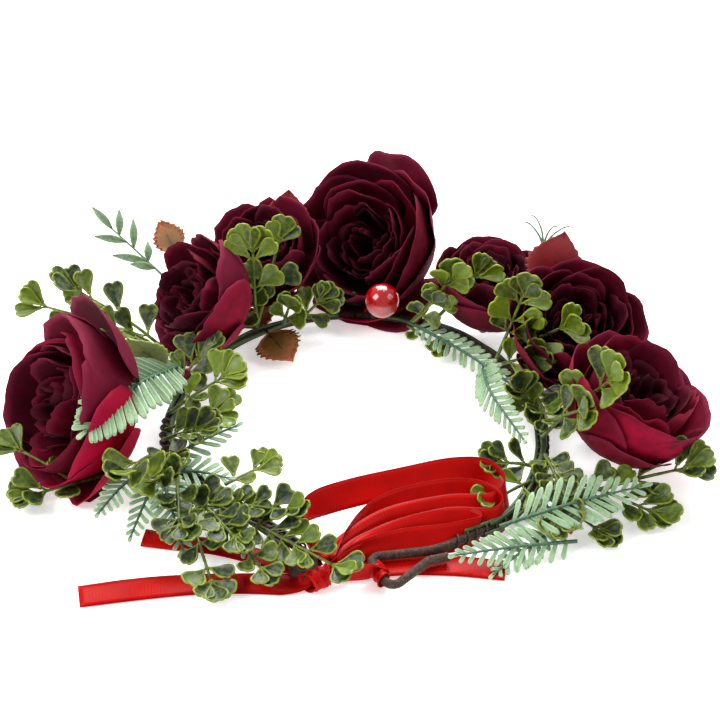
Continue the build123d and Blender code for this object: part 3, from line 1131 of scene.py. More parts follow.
@dataclass
class Boxwood(Foliage):
    """A spray of notched leaves in pairs on one stem, with a rosette at its tip."""

    part = "leaves"
    finish = BOXWOOD
    leaf_length: float = 14.8
    leaf_width: float = 11.0

    def grow(self, former: Former, sprig: Sprig, dice: random.Random) -> None:
        """Grow one sprig with its pairs and its rosette."""
        start, tip, face = Vector(sprig.start), Vector(sprig.tip), Vector(sprig.face).normalized()
        along = tip - start
        middle = (start + tip) / 2 + face * sprig.bow
        spine = smooth_line([start, middle, tip], 12)
        former.stem(spine, lambda t: 1.0 - 0.35 * t, 0.35, 0.15, 7)
        across = face.cross(along).normalized()
        for pair in range(sprig.pairs):
            share = sprig.bare + (1 - sprig.bare) * pair / max(sprig.pairs - 1, 1) * 0.86
            base = spine[min(int(share * 11), 11)]
            for hand in (1, -1):
                spread = radians(62 - 20 * share + dice.uniform(-12, 12))
                way = along.normalized() * cos(spread) + across * sin(spread) * hand
                lift = face * dice.uniform(0.05, 0.55)
                turned = face + across * hand * dice.uniform(-0.7, 0.1)
                turned = turned + along.normalized() * dice.uniform(-0.5, 0.2)
                self.leaf(former, base, way + lift, turned, sprig, dice)
        for index in range(3):
            way = along.normalized() + across * (index - 1) * 0.55 + face * dice.uniform(0.0, 0.5)
            turned = face - along.normalized() * 0.4 + across * (1 - index) * 0.4
            self.leaf(former, tip, way, turned, sprig, dice)

    def leaf(
        self, former: Former, base: Vector, way: Vector, turned: Vector, sprig: Sprig,
        dice: random.Random
    ) -> None:
        """Add one notched leaf on its stalk.

        Args:
            former: The mesh in the making.
            base: Where its stalk meets the stem, in millimetres.
            way: The way it points.
            turned: The way its upper side faces.
            sprig: The sprig that it is on.
            dice: Chance.
        """
        scale = sprig.scale * dice.uniform(0.82, 1.1)
        length = self.leaf_length * scale
        half = self.leaf_width * scale * dice.uniform(0.75, 1.15) / 2
        stalk = 3.0 * scale
        place = frame_at(base, way, turned)
        droop = dice.uniform(-0.4, 1.4)
        cup = dice.uniform(0.5, 1.6)

        def form(u: float, v: float) -> Vector:
            swell = sin(min(v / 0.74, 1.0) * pi / 2) ** 1.7
            swell *= 1 - 0.4 * max(0.0, (v - 0.74) / 0.26) ** 2.2
            tip_share = max(0.0, (v - 0.55) / 0.45)
            x = stalk + length * (
                v - 0.12 * tip_share * (1 - abs(u)) ** 1.6 - 0.13 * tip_share**2 * abs(u) ** 3
            )
            y = half * u * (0.07 + 0.93 * swell)
            edge = max(0.0, max(abs(u), v) - 0.8) / 0.2
            z = cup * u * u * swell - droop * v * v + 0.3 * edge
            z -= 0.45 * exp(-((u / 0.15) ** 2)) * (1 - v)
            return (place @ Vector((x, y, z))) * MM

        former.blade(
            form,
            (12, 11),
            (2 * half * MM, length * MM),
            0.75 * MM,
            # the sprig's value, painted shade on the sprigs underneath, with a random tone of each
            # leaf
            min(1.0, max(0.0, sprig.tone_and_shade - 0.1 + dice.uniform(-0.5, 0.5))),
            lambda u, v: min(0.5, 0.03 + 0.5 * max(abs(u) ** 12, v**20)),
        )
        ends = [base, base + (place @ Vector((stalk * 1.5, 0, -0.2)) - base)]
        former.stem(smooth_line(ends, 4), lambda t: 0.55, 0.5, 0.25, 6)


@dataclass
class Fern(Foliage):
    """A frosted frond: a tapering rib with blunt leaflets on both sides."""

    part = "frond"
    finish = FERN
    pitch: float = 4.3

    def grow(self, former: Former, sprig: Sprig, dice: random.Random) -> None:
        """Grow one frond, whose leaflets are as long as the sprig's scale says."""
        start, tip, face = Vector(sprig.start), Vector(sprig.tip), Vector(sprig.face).normalized()
        along = tip - start
        middle = (start + tip) / 2 + face * sprig.bow
        rows = int(along.length * 0.88 / self.pitch)
        spine = smooth_line([start, middle, tip], 3 * rows + 3)
        former.stem(spine, lambda t: 0.95 - 0.5 * t, 0.0, 0.0, 7)
        for row in range(rows):
            index = min(int((0.1 + 0.88 * row / rows) * len(spine)), len(spine) - 2)
            way = (spine[index + 1] - spine[index]).normalized()
            across = face.cross(way).normalized()
            reach = sprig.scale * (0.45 + 0.62 * sin(pi * min((row + 1.2) / rows, 1.0) ** 0.8))
            for hand in (1, -1):
                spread = radians(56 + dice.uniform(-5, 5) - 16 * row / rows)
                out = way * cos(spread) + across * sin(spread) * hand
                self.leaflet(
                    former, spine[index], out, face + across * hand * dice.uniform(-0.15, 0.15),
                    reach, dice
                )
        self.leaflet(former, spine[-2], along.normalized(), face, 0.45 * sprig.scale, dice)

    def leaflet(
        self, former: Former, base: Vector, way: Vector, turned: Vector, reach: float,
        dice: random.Random
    ) -> None:
        """Add one blunt leaflet.

        Args:
            former: The mesh in the making.
            base: Where it leaves the rib, in millimetres.
            way: The way it points.
            turned: The way its upper side faces.
            reach: Its length in millimetres.
            dice: Chance.
        """
        place = frame_at(base, way, turned)
        half = (0.55 + 0.07 * reach) * dice.uniform(0.85, 1.15)
        sweep = dice.uniform(0.2, 0.9)

        def form(u: float, v: float) -> Vector:
            width = (0.5 + 0.5 * v) * (1 - max(0.0, (v - 0.78) / 0.22) ** 2 * 0.7)
            z = -0.05 * reach * v * v + 0.3 * u * u * width
            return (place @ Vector((reach * v, half * u * width + sweep * v * v * 0.8, z))) * MM

        former.blade(
            form,
            (4, 7),
            (2 * half * MM, reach * MM),
            0.55 * MM,
            min(1.0, 0.35 + 0.5 * dice.random()),
            lambda u, v: min(1.0, 0.15 + 0.55 * v + 0.3 * abs(u) ** 3),
        )


@dataclass
class ToothedLeaf:
    """Single saw-edged leaves on stalks."""

    name: str
    body: Body
    finish: Finish
    leaves: Sequence[Sprig]
    width: Sequence[float]
    stalk: Sequence[float]
    teeth: Sequence[int]
    depth: float = 0.4
    wall: float = 0.7

    def build(self) -> None:
        """Make every leaf of the node."""
        former = Former(f"{self.name}_blade")
        dice = random.Random(self.name)
        for leaf, width, stalk, teeth in zip(self.leaves, self.width, self.stalk, self.teeth):
            self.grow(former, leaf, width, stalk, teeth, dice)
        former.piece(self.finish, self.body, [self.name])

    def grow(
        self, former: Former, leaf: Sprig, width: float, stalk: float, teeth: int,
        dice: random.Random
    ) -> None:
        """Grow one leaf.

        Args:
            former: The mesh in the making.
            leaf: Where it lies.
            width: Its width in millimetres.
            stalk: Length of its stalk in millimetres.
            teeth: Teeth on each side.
            dice: Chance.
        """
        start, tip = Vector(leaf.start), Vector(leaf.tip)
        place = frame_at(start, tip - start, Vector(leaf.face))
        length = (tip - start).length - stalk
        phase = dice.uniform(0, 20)

        def form(u: float, v: float) -> Vector:
            tooth = (v * teeth) % 1.0
            reach = 0.5 * width * max(sin(pi * v**0.8), 0.0) + 0.3
            reach *= 1 - self.depth * (1 - tooth) * abs(u) ** 6
            vein = 0.25 * cos((v - 0.35 * abs(u)) * teeth * tau) * (1 - abs(u))
            z = 1.2 * abs(u) ** 1.5 - 2.2 * (v - 0.5) ** 2 + vein
            z += 1.4 * noise.noise(Vector((u, v * 2, phase)))
            forward = 0.06 * abs(u) ** 2
            return (place @ Vector((stalk + length * (v + forward * (1 - v)), reach * u, z))) * MM

        former.blade(
            form,
            (12, 4 * teeth),
            (width * MM, length * MM),
            self.wall * MM,
            leaf.tone_and_shade,
            lambda u, v: min(1.0, 0.04 + 0.96 * max(abs(u), v) ** 2.6),
        )
        ends = [start, start + (tip - start).normalized() * (stalk + 0.6 * length)]
        former.stem(smooth_line(ends, 8), lambda t: 0.7 - 0.35 * t, 0.3, 0.0, 7)


@dataclass
class Twig:
    """A thin stem with narrow paired leaves near its tip."""

    sprig: Sprig
    leaf_length: float = 19.0
    leaf_width: float = 4.2
    leaves: tuple[tuple[float, int, float], ...] = (
        (0.55, 1, 0.7), (0.62, -1, 0.6), (0.66, 1, 1.0), (0.74, -1, 0.9), (0.86, 1, 0.9),
        (0.9, -1, 0.8), (0.97, 0, 0.9),
    )  # place along the stem, side of it, and size

    def build(self) -> None:
        """Make the twig."""
        former = Former("narrow_leaf_twig")
        start, tip, face = Vector(self.sprig.start), Vector(self.sprig.tip), Vector(self.sprig.face)
        along = tip - start
        spine = smooth_line([start, start + along * 0.5 + face * 2.5, tip], 16)
        former.stem(spine, lambda t: 0.95 - 0.5 * t, 0.3, 0.1, 7)
        across = face.cross(along).normalized()
        for share, hand, scale in self.leaves:
            base = spine[int(share * 15)]
            way = along.normalized() * 0.8 + across * hand * 0.62 + face * 0.15
            place = frame_at(base, way, face + across * hand * 0.3)
            length, half = self.leaf_length * scale, self.leaf_width / 2

            def form(u: float, v: float) -> Vector:
                width = sin(pi * min(max(v, 0.02), 0.98) ** 0.9)
                z = 1.6 * sin(pi * v) + 0.35 * u * u
                return (place @ Vector((length * v, half * u * width, z))) * MM

            former.blade(
                form, (4, 9), (2 * half * MM, length * MM), 0.5 * MM, 0.7, lambda u,
                v: 0.2 + 0.5 * abs(u) ** 3
            )
        former.piece(TWIG, Body.LEFT, ["twig"])


@dataclass
class Tendril:
    """Curled thin tendrils on a grey-green stub."""

    sprig: Sprig
    curls: Sequence[tuple[float, float]] = ((-0.55, 17.0), (-0.1, 13.0), (0.35, 17.0), (0.8, 14.0))

    def build(self) -> None:
        """Make the stub and its curls."""
        former = Former("curled_tendril")
        start, tip = Vector(self.sprig.start), Vector(self.sprig.tip)
        face = Vector(self.sprig.face).normalized()
        along = (tip - start).normalized()
        across = face.cross(along).normalized()
        spine = smooth_line([start, (start + tip) / 2 - face * 2, tip], 12)
        former.stem(spine, lambda t: 1.0 + 0.9 * max(0.0, t - 0.75), 0.6, 0.4, 8)
        for lean, length in self.curls:
            way = (along + across * lean).normalized()
            out = across * (1 if lean > 0 else -1)
            points = [
                tip - along,
                tip + way * length * 0.45 + face,
                tip + way * length * 0.85 + out * length * 0.12,
                tip + way * length * 0.9 + out * length * 0.34,
            ]
            former.stem(smooth_line(points, 14), lambda t: 0.65 - 0.35 * t, 0.4, 0.2, 6)
        former.piece(TWIG, Body.RIGHT, ["tendril"])


@dataclass
class Fruit:
    """The glossy berry and the small plum bud, each on its stalk."""

    berry_centre: Point
    berry_radius: float
    bud_centre: Point
    stalk_foot: float = 108.5  # y of the berry stalk's foot, in millimetres

    def build(self) -> None:
        """Make the berry and the bud."""
        centre = Vector(self.berry_centre)
        berry = Former("berry_ball")
        berry.ball(centre * MM, self.berry_radius * MM, 0.5, 0.0, 4)
        crown = centre + Vector((0.1, -0.45, 0.89)) * self.berry_radius
        berry.ball(crown * MM, 0.7 * MM, 0.2, 0.0, 1)
        lo = Vector(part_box("berry")[0])
        foot = Vector((centre.x * MM * 0.35, self.stalk_foot * MM, lo.z + 1.5 * MM))
        berry.tube(
            smooth_line([foot, (foot + centre * MM) / 2, centre * MM], 6), lambda t: 0.8 * MM, 0.2,
            0.0, 7
        )
        berry.piece(BERRY, Body.LEFT, ["berry"])
        bud = Former("plum_bud_drop")
        base = Vector(self.bud_centre)
        spine = smooth_line(
            [(base + Vector((0, 0, -5))) * MM, base * MM, (base + Vector((0.5, -0.5, 6.5))) * MM],
            12
        )
        bud.tube(
            spine, lambda t: (0.6 + 2.6 * sin(pi * t) ** 0.8 * (1 - 0.35 * t)) * MM, 0.6, 0.1, 12
        )
        bud.piece(BUD, Body.LEFT, ["bud"])


# ---------------------------------------------------------------- ribbon
# A station of a ribbon: its middle in millimetres, and its lean from upright in degrees.
Station = tuple[float, float, float, float]


@dataclass
class RibbonStrip:
    """One stretch of satin ribbon that follows its stations."""

    name: str
    body: Optional[Body]
    stations: Sequence[Station]
    nodes: Sequence[str] = ()
    width: float = 13.0
    held: str = "gathered"
    rests_on: Sequence[str] = ()
    narrow: tuple[float, float] = (1.0, 1.0)
    wall: float = 0.35
    cells: int = 6

    def build(self) -> bpy.types.Object:
        """Make the stretch.

        Returns:
            The finished piece.
        """
        former = Former(self.name)
        rows = 9 * (len(self.stations) - 1)
        line = smooth_line([Vector(station[:3]) for station in self.stations], rows + 1)
        leans = smooth_line([Vector((station[3], 0, 0)) for station in self.stations], rows + 1)
        length = sum((line[i + 1] - line[i]).length for i in range(rows))
        up = Vector((0, 0, 1))

        def form(u: float, v: float) -> Vector:
            index = min(round(v * rows), rows)
            way = (line[min(index + 1, rows)] - line[max(index - 1, 0)]).normalized()
            side_way = way.cross(up).normalized()
            upright = (up - way * up.dot(way)).normalized()
            lean = radians(leans[index].x)
            across = upright * cos(lean) + side_way * sin(lean)
            out = across.cross(way)
            narrow = self.narrow[0] + (1 - self.narrow[0]) * min(v / 0.25, 1)
            narrow = min(narrow, self.narrow[1] + (1 - self.narrow[1]) * min((1 - v) / 0.25, 1))
            swell = 0.5 * (1 - u * u) + (1 - narrow) * 2.4 * sin(u * 5.0)
            place = line[index] + across * u * self.width / 2 * narrow + out * swell
            return place * MM

        former.blade(form, (self.cells, rows), (self.width * MM, length * MM), self.wall * MM, 0.5)
        made = former.piece(SATIN, self.body, self.nodes)
        list(self.rests_on)
        return made


@dataclass
class Ribbon:
    """The ribbon: knot, loops, tails, and the strand that passes through the right eye."""

    knot_middle: Point
    knot_axis: Point
    hitch_middle: Point
    hitch_axis: Point

    def build(self) -> None:
        """Make every stretch of the ribbon."""
        loops = [
            RibbonStrip(
                "ribbon_outer_loop",
                Body.BOW,
                [
                    (-13, -84, 7, 30), (-18, -71, 9, 10), (-23, -60, 11, 0),
                    (-17, -52, 13, -22), (0, -44.5, 14, -36), (22, -38, 15, -38),
                    (44, -31, 15, -34), (60, -29, 13, -12), (68, -37, 9.5, 10),
                    (62, -47, 8, 28), (40, -50, 9, 34), (14, -58, 9, 34),
                    (-6, -74, 7, 30), (-12, -84, 6, 30),
                ],
                ["ribbon_loops"],
                narrow=(0.5, 0.5),
            ),
            RibbonStrip(
                "ribbon_middle_loop",
                Body.BOW,
                [
                    (-10, -83, 7, 20), (-2, -66, 8, -5), (12, -52, 10, -26),
                    (34, -43, 11, -34), (54, -40, 10, -20), (66, -47, 8, 5),
                    (62, -56, 7, 24), (40, -57, 7.5, 35), (14, -66, 7.5, 35),
                    (-6, -80, 6.5, 30),
                ],
                narrow=(0.5, 0.5),
            ),
            RibbonStrip(
                "ribbon_low_band",
                Body.BOW,
                [
                    (-10, -85, 6, 0), (2, -76, 6, -25), (22, -70, 6.2, -38),
                    (44, -66, 6.2, -36), (56, -60, 6.5, 0), (48, -55, 6.5, 20),
                    (26, -61, 6.5, 30), (4, -72, 6.5, 30), (-8, -83, 6.5, 20),
                ],
                narrow=(0.5, 0.5),
            ),
            RibbonStrip(
                "ribbon_floor_band",
                Body.BOW,
                [
                    (-6, -86, 3, 70), (4, -82, 1.2, 84), (22, -79, 0.9, 88),
                    (44, -79, 0.7, 90), (66, -82, 0.7, 90),
                ],
                narrow=(0.5, 1.0),
            ),
        ]
        for strip in loops:
            strip.build()
        RibbonStrip(
            "ribbon_long_tail",
            Body.TAIL,
            [
                (-18, -91, 3.5, 60), (-27, -91.5, 1.4, 84), (-45, -90.4, 0.7, 90),
                (-68, -91, 0.7, 90), (-92, -94.5, 1.2, 86), (-117, -99, 0.9, 88),
            ],
            ["ribbon_tail"],
            held="laid",
            narrow=(0.5, 1.0),
        ).build()
        RibbonStrip(
            "ribbon_short_end",
            Body.LEFT,
            [
                (-20, -84, 2, 70), (-30, -78, 0.8, 88), (-58, -67, 0.7, 90),
                (-80, -63, 0.7, 90), (-93, -61, 1.6, 84),
            ],
            ["ribbon_short_tail"],
            width=10.4,
            held="laid",
            narrow=(0.6, 1.0),
        ).build()
        self.tie(
            "ribbon_knot_wrap", Body.LEFT, self.knot_middle, self.knot_axis, 4.3, 12.0, 2.2,
            ["ribbon_knot"]
        )
        self.tie(
            "ribbon_hitch_wrap", Body.RIGHT, self.hitch_middle, self.hitch_axis, 3.3, 10.0, 1.2,
            ["ribbon_hitch"]
        )
        strand = RibbonStrip(
            "ribbon_strand",
            None,
            [
                (-12, -90, 6, 20), (-3, -91, 7, 10), (6, -90, 7, 10),
                (12, -88, 6, 20),
            ],
            width=10.0,
            narrow=(0.5, 0.45),
        ).build()
        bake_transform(strand)

    def tie(
        self,
        name: str,
        body: Body,
        middle: Point,
        axis: Point,
        reach: float,
        width: float,
        turns: float,
        nodes: Sequence[str],
    ) -> None:
        """Wrap a stretch of ribbon round a bar of the hoop.

        Args:
            name: The piece's name.
            body: The body of that bar.
            middle: The middle of the bar, in millimetres.
            axis: The bar's direction.
            reach: Radius of the first turn, in millimetres.
            width: Width of the gathered ribbon, in millimetres.
            turns: How many turns it makes.
            nodes: The measured solids that it stands for.
        """
        former = Former(name)
        place = frame_at(Vector(middle), Vector(axis), Vector((0, 0, 1)))
        rows = int(28 * turns)
        length = turns * tau * reach

        def form(u: float, v: float) -> Vector:
            angle = v * turns * tau
            pleat = 0.45 * sin(u * 7 + v * 3) + 0.4 * noise.noise(Vector((u * 2, v * 4, 1.5)))
            out = reach + 0.45 * v * turns * 0.5 + pleat
            shift = 1.8 * sin(v * turns * pi)
            x = u * width / 2 * (0.62 + 0.25 * sin(angle * 0.5) ** 2) + shift
            return (place @ Vector((x, out * cos(angle), out * sin(angle)))) * MM

        former.blade(form, (14, rows), (width * MM, length * MM), 0.35 * MM, 0.5)
        made = former.piece(SATIN, body, nodes)


# ---------------------------------------------------------------- the crown's own pieces
def guard(
    azimuth: float, tone_and_shade: float, pale: float = 0.4, cup: float = 1.0, turn: float = 100.0,
    **rest: float
) -> Petal:
    """Describe one of the broad outer petals.

    Args:
        azimuth: Where it stands, in degrees: 0 is to the right of the bloom's face, 90 is above.
        tone_and_shade: Depth of its colour, as painted light and shade on this petal.
        pale: How pale its rim is, as a painted glow of light through the cloth.
        cup: Radius of its cup.
        turn: How far it rises round its cup, in degrees.
        **rest: Any other value of the petal.

    Returns:
        The petal.
    """
    return Petal(azimuth, rest.pop("spread", 48.0), cup, turn=turn, tone_and_shade=tone_and_shade, pale=pale, **rest)


# In each guard the second value is painted light and shade and the third the painted glow at its
# rim; the number after a bloom's guards is painted shade over the whole bloom.
BLOOMS = [
    Bloom(
        "flower_side_left", Body.LEFT, (-131, -2, 31.3), (-0.7, -0.2, 0.68), (-0.80, -0.42, 0.42),
        31, 11,
        [
            guard(0, 0.35, 0.5, 1.0, 104, veil=0.42, ruffle=0.03, ragged=0.05),
            guard(45, 0.3, 0.6, 1.05, 104, veil=0.35, ragged=0.06),
            guard(95, 0.35, 0.8, 1.1, 92),
            guard(160, 0.5, 0.9, 1.12, 96, ruffle=0.04),
            guard(215, 0.5, 0.7, 1.05, 98, ruffle=0.03),
            guard(270, 0.95, 0.3, 1.0, 96, ruffle=0.02),
            guard(320, 0.85, 0.3, 1.04, 100, ruffle=0.03),
            guard(62, 0.3, 0.6, 1.26, 88, veil=0.4, ragged=0.06, lean=0.05),
            guard(292, 0.9, 0.3, 1.28, 82, ruffle=0.05),
            guard(250, 0.55, 0.4, 1.3, 74, ruffle=0.05, veil=0.1),
        ],
        -0.12,
        (
            (3, 0.84, 0.10, 112.0), (4, 0.70, 0.15, 108.0), (5, 0.50, 0.15, 104.0),
            (5, 0.34, 0.1, 100.0)
        ),
    ),
    Bloom(
        "flower_rear_left", Body.LEFT, (-77, 88, 31), (-0.45, -0.35, 0.82), (-0.72, -0.30, 0.62),
        21.5, 12,
        [
            guard(5, 0.45, 0.5, 1.05, 110, veil=0.55, ragged=0.08, ruffle=0.03),
            guard(310, 0.7, 0.5, 1.1, 104, veil=0.25, ragged=0.05, ruffle=0.02),
            guard(270, 0.7, 0.6, 1.2, 80, veil=0.25, curl=0.12),
            guard(55, 0.3, 0.6, 1.0, 108, veil=0.3, ragged=0.08),
            guard(120, 0.6, 0.4, 1.0, 96),
            guard(190, 0.3, 0.4, 1.0, 92, ragged=0.06),
            guard(235, 0.35, 0.4, 1.05, 92),
        ],
        0.05, fullness=1.28,
    ),
    Bloom(
        "flower_mid_left", Body.LEFT, (-46, 123, 36), (-0.1, -0.2, 0.97), (-0.30, -0.45, 0.84),
        20.5, 13,
        [
            guard(0, 0.4, 0.4, 1.1, 92, veil=0.5, ragged=0.08),
            guard(60, 0.4, 0.4, 1.1, 92, veil=0.4, ragged=0.08),
            guard(130, 0.35, 0.4, 1.1, 92, veil=0.5, ragged=0.08),
            guard(200, 0.4, 0.4, 1.15, 88, veil=0.55, ragged=0.08),
            guard(262, 0.45, 0.4, 1.15, 86, veil=0.5, ragged=0.08),
            guard(320, 0.5, 0.4, 1.1, 90, veil=0.45, ragged=0.08),
        ],
        0.0, fullness=1.25,
    ),
    Bloom(
        "flower_front", Body.LEFT, (7, 135.5, 31.8), (0.25, 0.3, 0.92), (-0.42, -0.60, 0.68), 30.5,
        14,
        [
            guard(350, 0.42, 0.2, 0.98, 112, ruffle=0.02, spread=56.0, middle=0.2),
            guard(30, 0.6, 0.9, 1.02, 104, veil=0.2, ruffle=0.09, lean=0.08),
            guard(62, 0.65, 1.0, 1.22, 100, veil=0.55, ruffle=0.08, lean=0.10, spread=34.0),
            guard(95, 0.4, 0.7, 1.12, 106, veil=0.35, ruffle=0.05),
            guard(140, 0.35, 1.0, 1.10, 102, ruffle=0.08, ragged=0.06),
            guard(190, 0.35, 0.6, 1.02, 100, ruffle=0.06),
            guard(262, 0.98, 0.2, 1.08, 92, ruffle=0.03, ragged=0.07, spread=44.0),
            guard(240, 0.6, 0.5, 1.2, 76, curl=0.14, ruffle=0.08),
            guard(285, 0.55, 0.6, 1.24, 74, curl=0.16, ruffle=0.08),
            guard(315, 0.4, 0.3, 1.0, 96, ruffle=0.04),
        ],
        0.0,
    ),
    Bloom(
        "flower_mid_right", Body.RIGHT, (68, 103, 29.5), (0.1, 0.1, 0.99), (0.06, -0.12, 0.98), 23,
        15,
        [guard(72 * k + 18, 0.35 + 0.1 * (k % 2), 0.4, 1.02, 106, ruffle=0.07) for k in range(5)]
        + [guard(262, 0.5, 0.3, 1.1, 98, ruffle=0.03), guard(300, 0.35, 0.3, 1.1, 98)],
        0.15, fullness=1.12,
    ),
    Bloom(
        "flower_rear_right", Body.RIGHT, (107, 62, 31), (0.35, -0.3, 0.89), (0.15, -0.5, 0.85), 25,
        16,
        [guard(72 * k, 0.5 + 0.1 * (k % 2), 0.5, 1.04, 98, ruffle=0.07) for k in range(5)]
        + [guard(250, 0.65, 0.4, 1.15, 86, veil=0.25), guard(290, 0.7, 0.4, 1.18, 84, veil=0.2)],
        0.08, fullness=1.22,
    ),
    Bloom(
        "flower_side_right", Body.RIGHT, (127, -2, 33), (0.55, -0.45, 0.70), (0.42, -0.10, 0.90),
        31, 17,
        [
            guard(262, 0.66, 0.2, 1.04, 112, ruffle=0.02, spread=52.0),
            guard(215, 0.55, 0.3, 1.06, 106, ruffle=0.03),
            guard(310, 0.5, 0.3, 1.06, 106, ruffle=0.03),
            guard(5, 0.6, 0.6, 1.1, 100, ruffle=0.05),
            guard(50, 0.5, 0.6, 1.06, 100, ruffle=0.06),
            guard(100, 0.45, 0.5, 1.05, 100, ruffle=0.06),
            guard(165, 0.5, 0.4, 1.05, 100, ruffle=0.05),
            guard(270, 0.5, 0.4, 1.12, 84, curl=0.1, ruffle=0.05),
        ],
        -0.05, fullness=1.0,
    ),
]

# Sprigs whose seventh value is near 0 are a darker underlay: painted shade among the dense leaves.
BOXWOODS = [
    Boxwood("boxwood_front_left", Body.LEFT, [
        Sprig((-49, 90, 12), (-50, 96, 52), (0, -1, 0.35), 2, 1.05, 0.62, 0.6, 3),
        Sprig((-49, 90, 12), (-38, 108, 50), (0, -1, 0.35), 1, 0.95, 0.6, 0.5, 3),
        Sprig((-36, 98, 9), (-33, 92, 22), (0, -0.8, 0.6), 1, 0.85, 0.4, 0.3),
        Sprig((-60, 84, 8), (-54, 92, 24), (0, -0.8, 0.6), 2, 0.9, 0.4, 0.05),
        Sprig((-28, 102, 8), (-18, 104, 18), (0, -0.8, 0.6), 2, 0.8, 0.4, 0.05),
    ]),
    Boxwood("boxwood_front", Body.RIGHT, [
        Sprig((28, 98, 9), (47, 86, 42), (0, -1, 0.3), 2, 1.0, 0.6, 0.7, 2),
        Sprig((29, 98, 9), (38, 84, 30), (0, -1, 0.3), 1, 0.85, 0.5, 0.2, 2),
        Sprig((38, 90, 14), (60, 98, 36), (0, -1, 0.3), 1, 0.95, 0.6, 0.8, 2),
        Sprig((27, 98, 8), (40, 82, 6), (0, -0.3, 1), 2, 0.6, 0.3, 0.7),
    ]),
    Boxwood("boxwood_front_right", Body.RIGHT, [
        Sprig((70, 66, 9.5), (80, 56, 52), (-0.1, -0.9, 0.4), 3, 1.05, 0.5, 0.7, 3),
        Sprig((76, 60, 20), (98, 50, 38), (0, -0.9, 0.4), 1, 1.0, 0.5, 0.5, 2),
        Sprig((70, 60, 10), (84, 48, 24), (0, -0.9, 0.4), 2, 0.9, 0.4, 0.6, 2),
    ]),
    Boxwood("boxwood_side_right", Body.RIGHT, [
        Sprig((88, 2, 10), (112, -22, 58), (-0.4, -0.6, 0.6), 2, 1.05, 0.6, 0.7, 4),
        Sprig((92, -4, 24), (100, -24, 44), (-0.4, -0.6, 0.6), 1, 1.0, 0.5, 0.5, 2),
    ]),
    Boxwood("boxwood_top_left", Body.LEFT, [
        Sprig((-83, 60, 9), (-132, 72, 44), (0.1, -0.3, 1), 3, 1.05, 0.4, 0.5, 4),
        Sprig((-112, 66, 26), (-150, 72, 36), (0.1, -0.5, 1), 1, 0.95, 0.6, 0.6, 1),
        Sprig((-100, 62, 22), (-112, 44, 42), (0.1, -0.5, 1), 1, 1.0, 0.5, 0.3, 1),
    ]),
    Boxwood("boxwood_low_left", Body.LEFT, [
        Sprig((-92, -10, 9), (-97, -54, 34), (-0.1, -0.6, 0.8), 1, 1.25, 0.72, 0.6, 3),
        Sprig((-88, -20, 9), (-86, -50, 26), (-0.1, -0.6, 0.8), 1, 1.1, 0.6, 0.4, 3),
        Sprig((-95, -12, 3.4), (-143, -34, 5), (0, -0.2, 1), 2, 0.95, 0.7, 0.5, 1),
        Sprig((-126, -26, 4), (-152, -12, 12), (0, -0.4, 1), 0, 0.95, 0.6, 0.6, 1),
    ]),
    Boxwood("boxwood_arm_left", Body.LEFT, [
        Sprig((-84, -16, 9.5), (-61, -93, 5.5), (0, -0.3, 1), 4, 0.9, 0.45, 0.15, 3),
        Sprig((-80, -28, 10), (-76, -66, 14), (0, -0.3, 1), 2, 0.9, 0.5, 0.1, 3),
        Sprig((-84, -6, 9), (-84, -38, 20), (0, -0.3, 1), 3, 0.8, 0.3, 0.05, 2),
        Sprig((-76, -36, 9), (-52, -74, 14), (0, -0.3, 1), 5, 0.8, 0.2, 0.0, 2),
    ]),
    Boxwood("boxwood_tail_left", Body.LEFT, [
        Sprig((-70, -42, 10), (-9, -92, 13), (-0.1, -0.3, 1), 8, 0.85, 0.2, 0.35, 1),
        Sprig((-62, -48, 9), (-30, -64, 20), (-0.1, -0.3, 1), 3, 0.75, 0.3, 0.3, 2),
        Sprig((-60, -56, 9), (-40, -88, 8), (-0.1, -0.3, 1), 2, 0.75, 0.3, 0.1, 2),
    ]),
    Boxwood("boxwood_inner_left", Body.LEFT, [
        Sprig((-89, 22, 7.5), (-64, 34, 20), (0, -0.3, 1), 2, 0.95, 0.4, 0.9, 1),
        Sprig((-89, 10, 7.5), (-66, 14, 14), (0, -0.3, 1), 2, 0.85, 0.4, 0.7, 1),
        Sprig((-89, 2, 8), (-72, -4, 18), (0, -0.3, 1), 3, 0.9, 0.3, 0.05, 1),
        Sprig((-87, 34, 8), (-76, 52, 20), (0, -0.3, 1), 3, 0.9, 0.3, 0.0, 1),
        Sprig((-58, -33, 9.5), (-43, -20, 9), (0, -0.3, 1), 2, 0.7, 0.35, 0.7, 0),
    ]),
    Boxwood("boxwood_arm_right", Body.RIGHT, [
        Sprig((82, -21, 10.5), (68, -23, 14), (0, -0.5, 1), 2, 0.8, 0.3, 0.1, 1),
        Sprig((80, -30, 9), (66, -40, 8), (0, -0.5, 1), 1, 0.8, 0.3, 0.9, 1),
        Sprig((85, 22, 9.5), (80, 22, 20), (0, -0.5, 1), 2, 0.85, 0.3, 0.1, 1),
        Sprig((82, -40, 8), (90, -56, 9), (0, -0.5, 1), 2, 0.85, 0.3, 0.2, 1),
        Sprig((88, -12, 10), (92, -40, 14), (0, -0.5, 1), 4, 0.8, 0.2, 0.0, 1),
        Sprig((86, 40, 9), (90, 8, 16), (0, -0.5, 1), 4, 0.85, 0.2, 0.0, 1),
    ]),
    Boxwood("boxwood_low_right", Body.RIGHT, [
        Sprig((91, -26, 8.5), (131, -46, 5.5), (0, -0.3, 1), 4, 0.9, 0.4, 0.3, 2),
        Sprig((110, -34, 7), (148, -30, 16), (0, -0.4, 1), 2, 0.9, 0.5, 0.3, 1),
        Sprig((88, -38, 7), (108, -58, 3.5), (0, -0.4, 1), 2, 0.8, 0.4, 0.2, 1),
    ]),
]

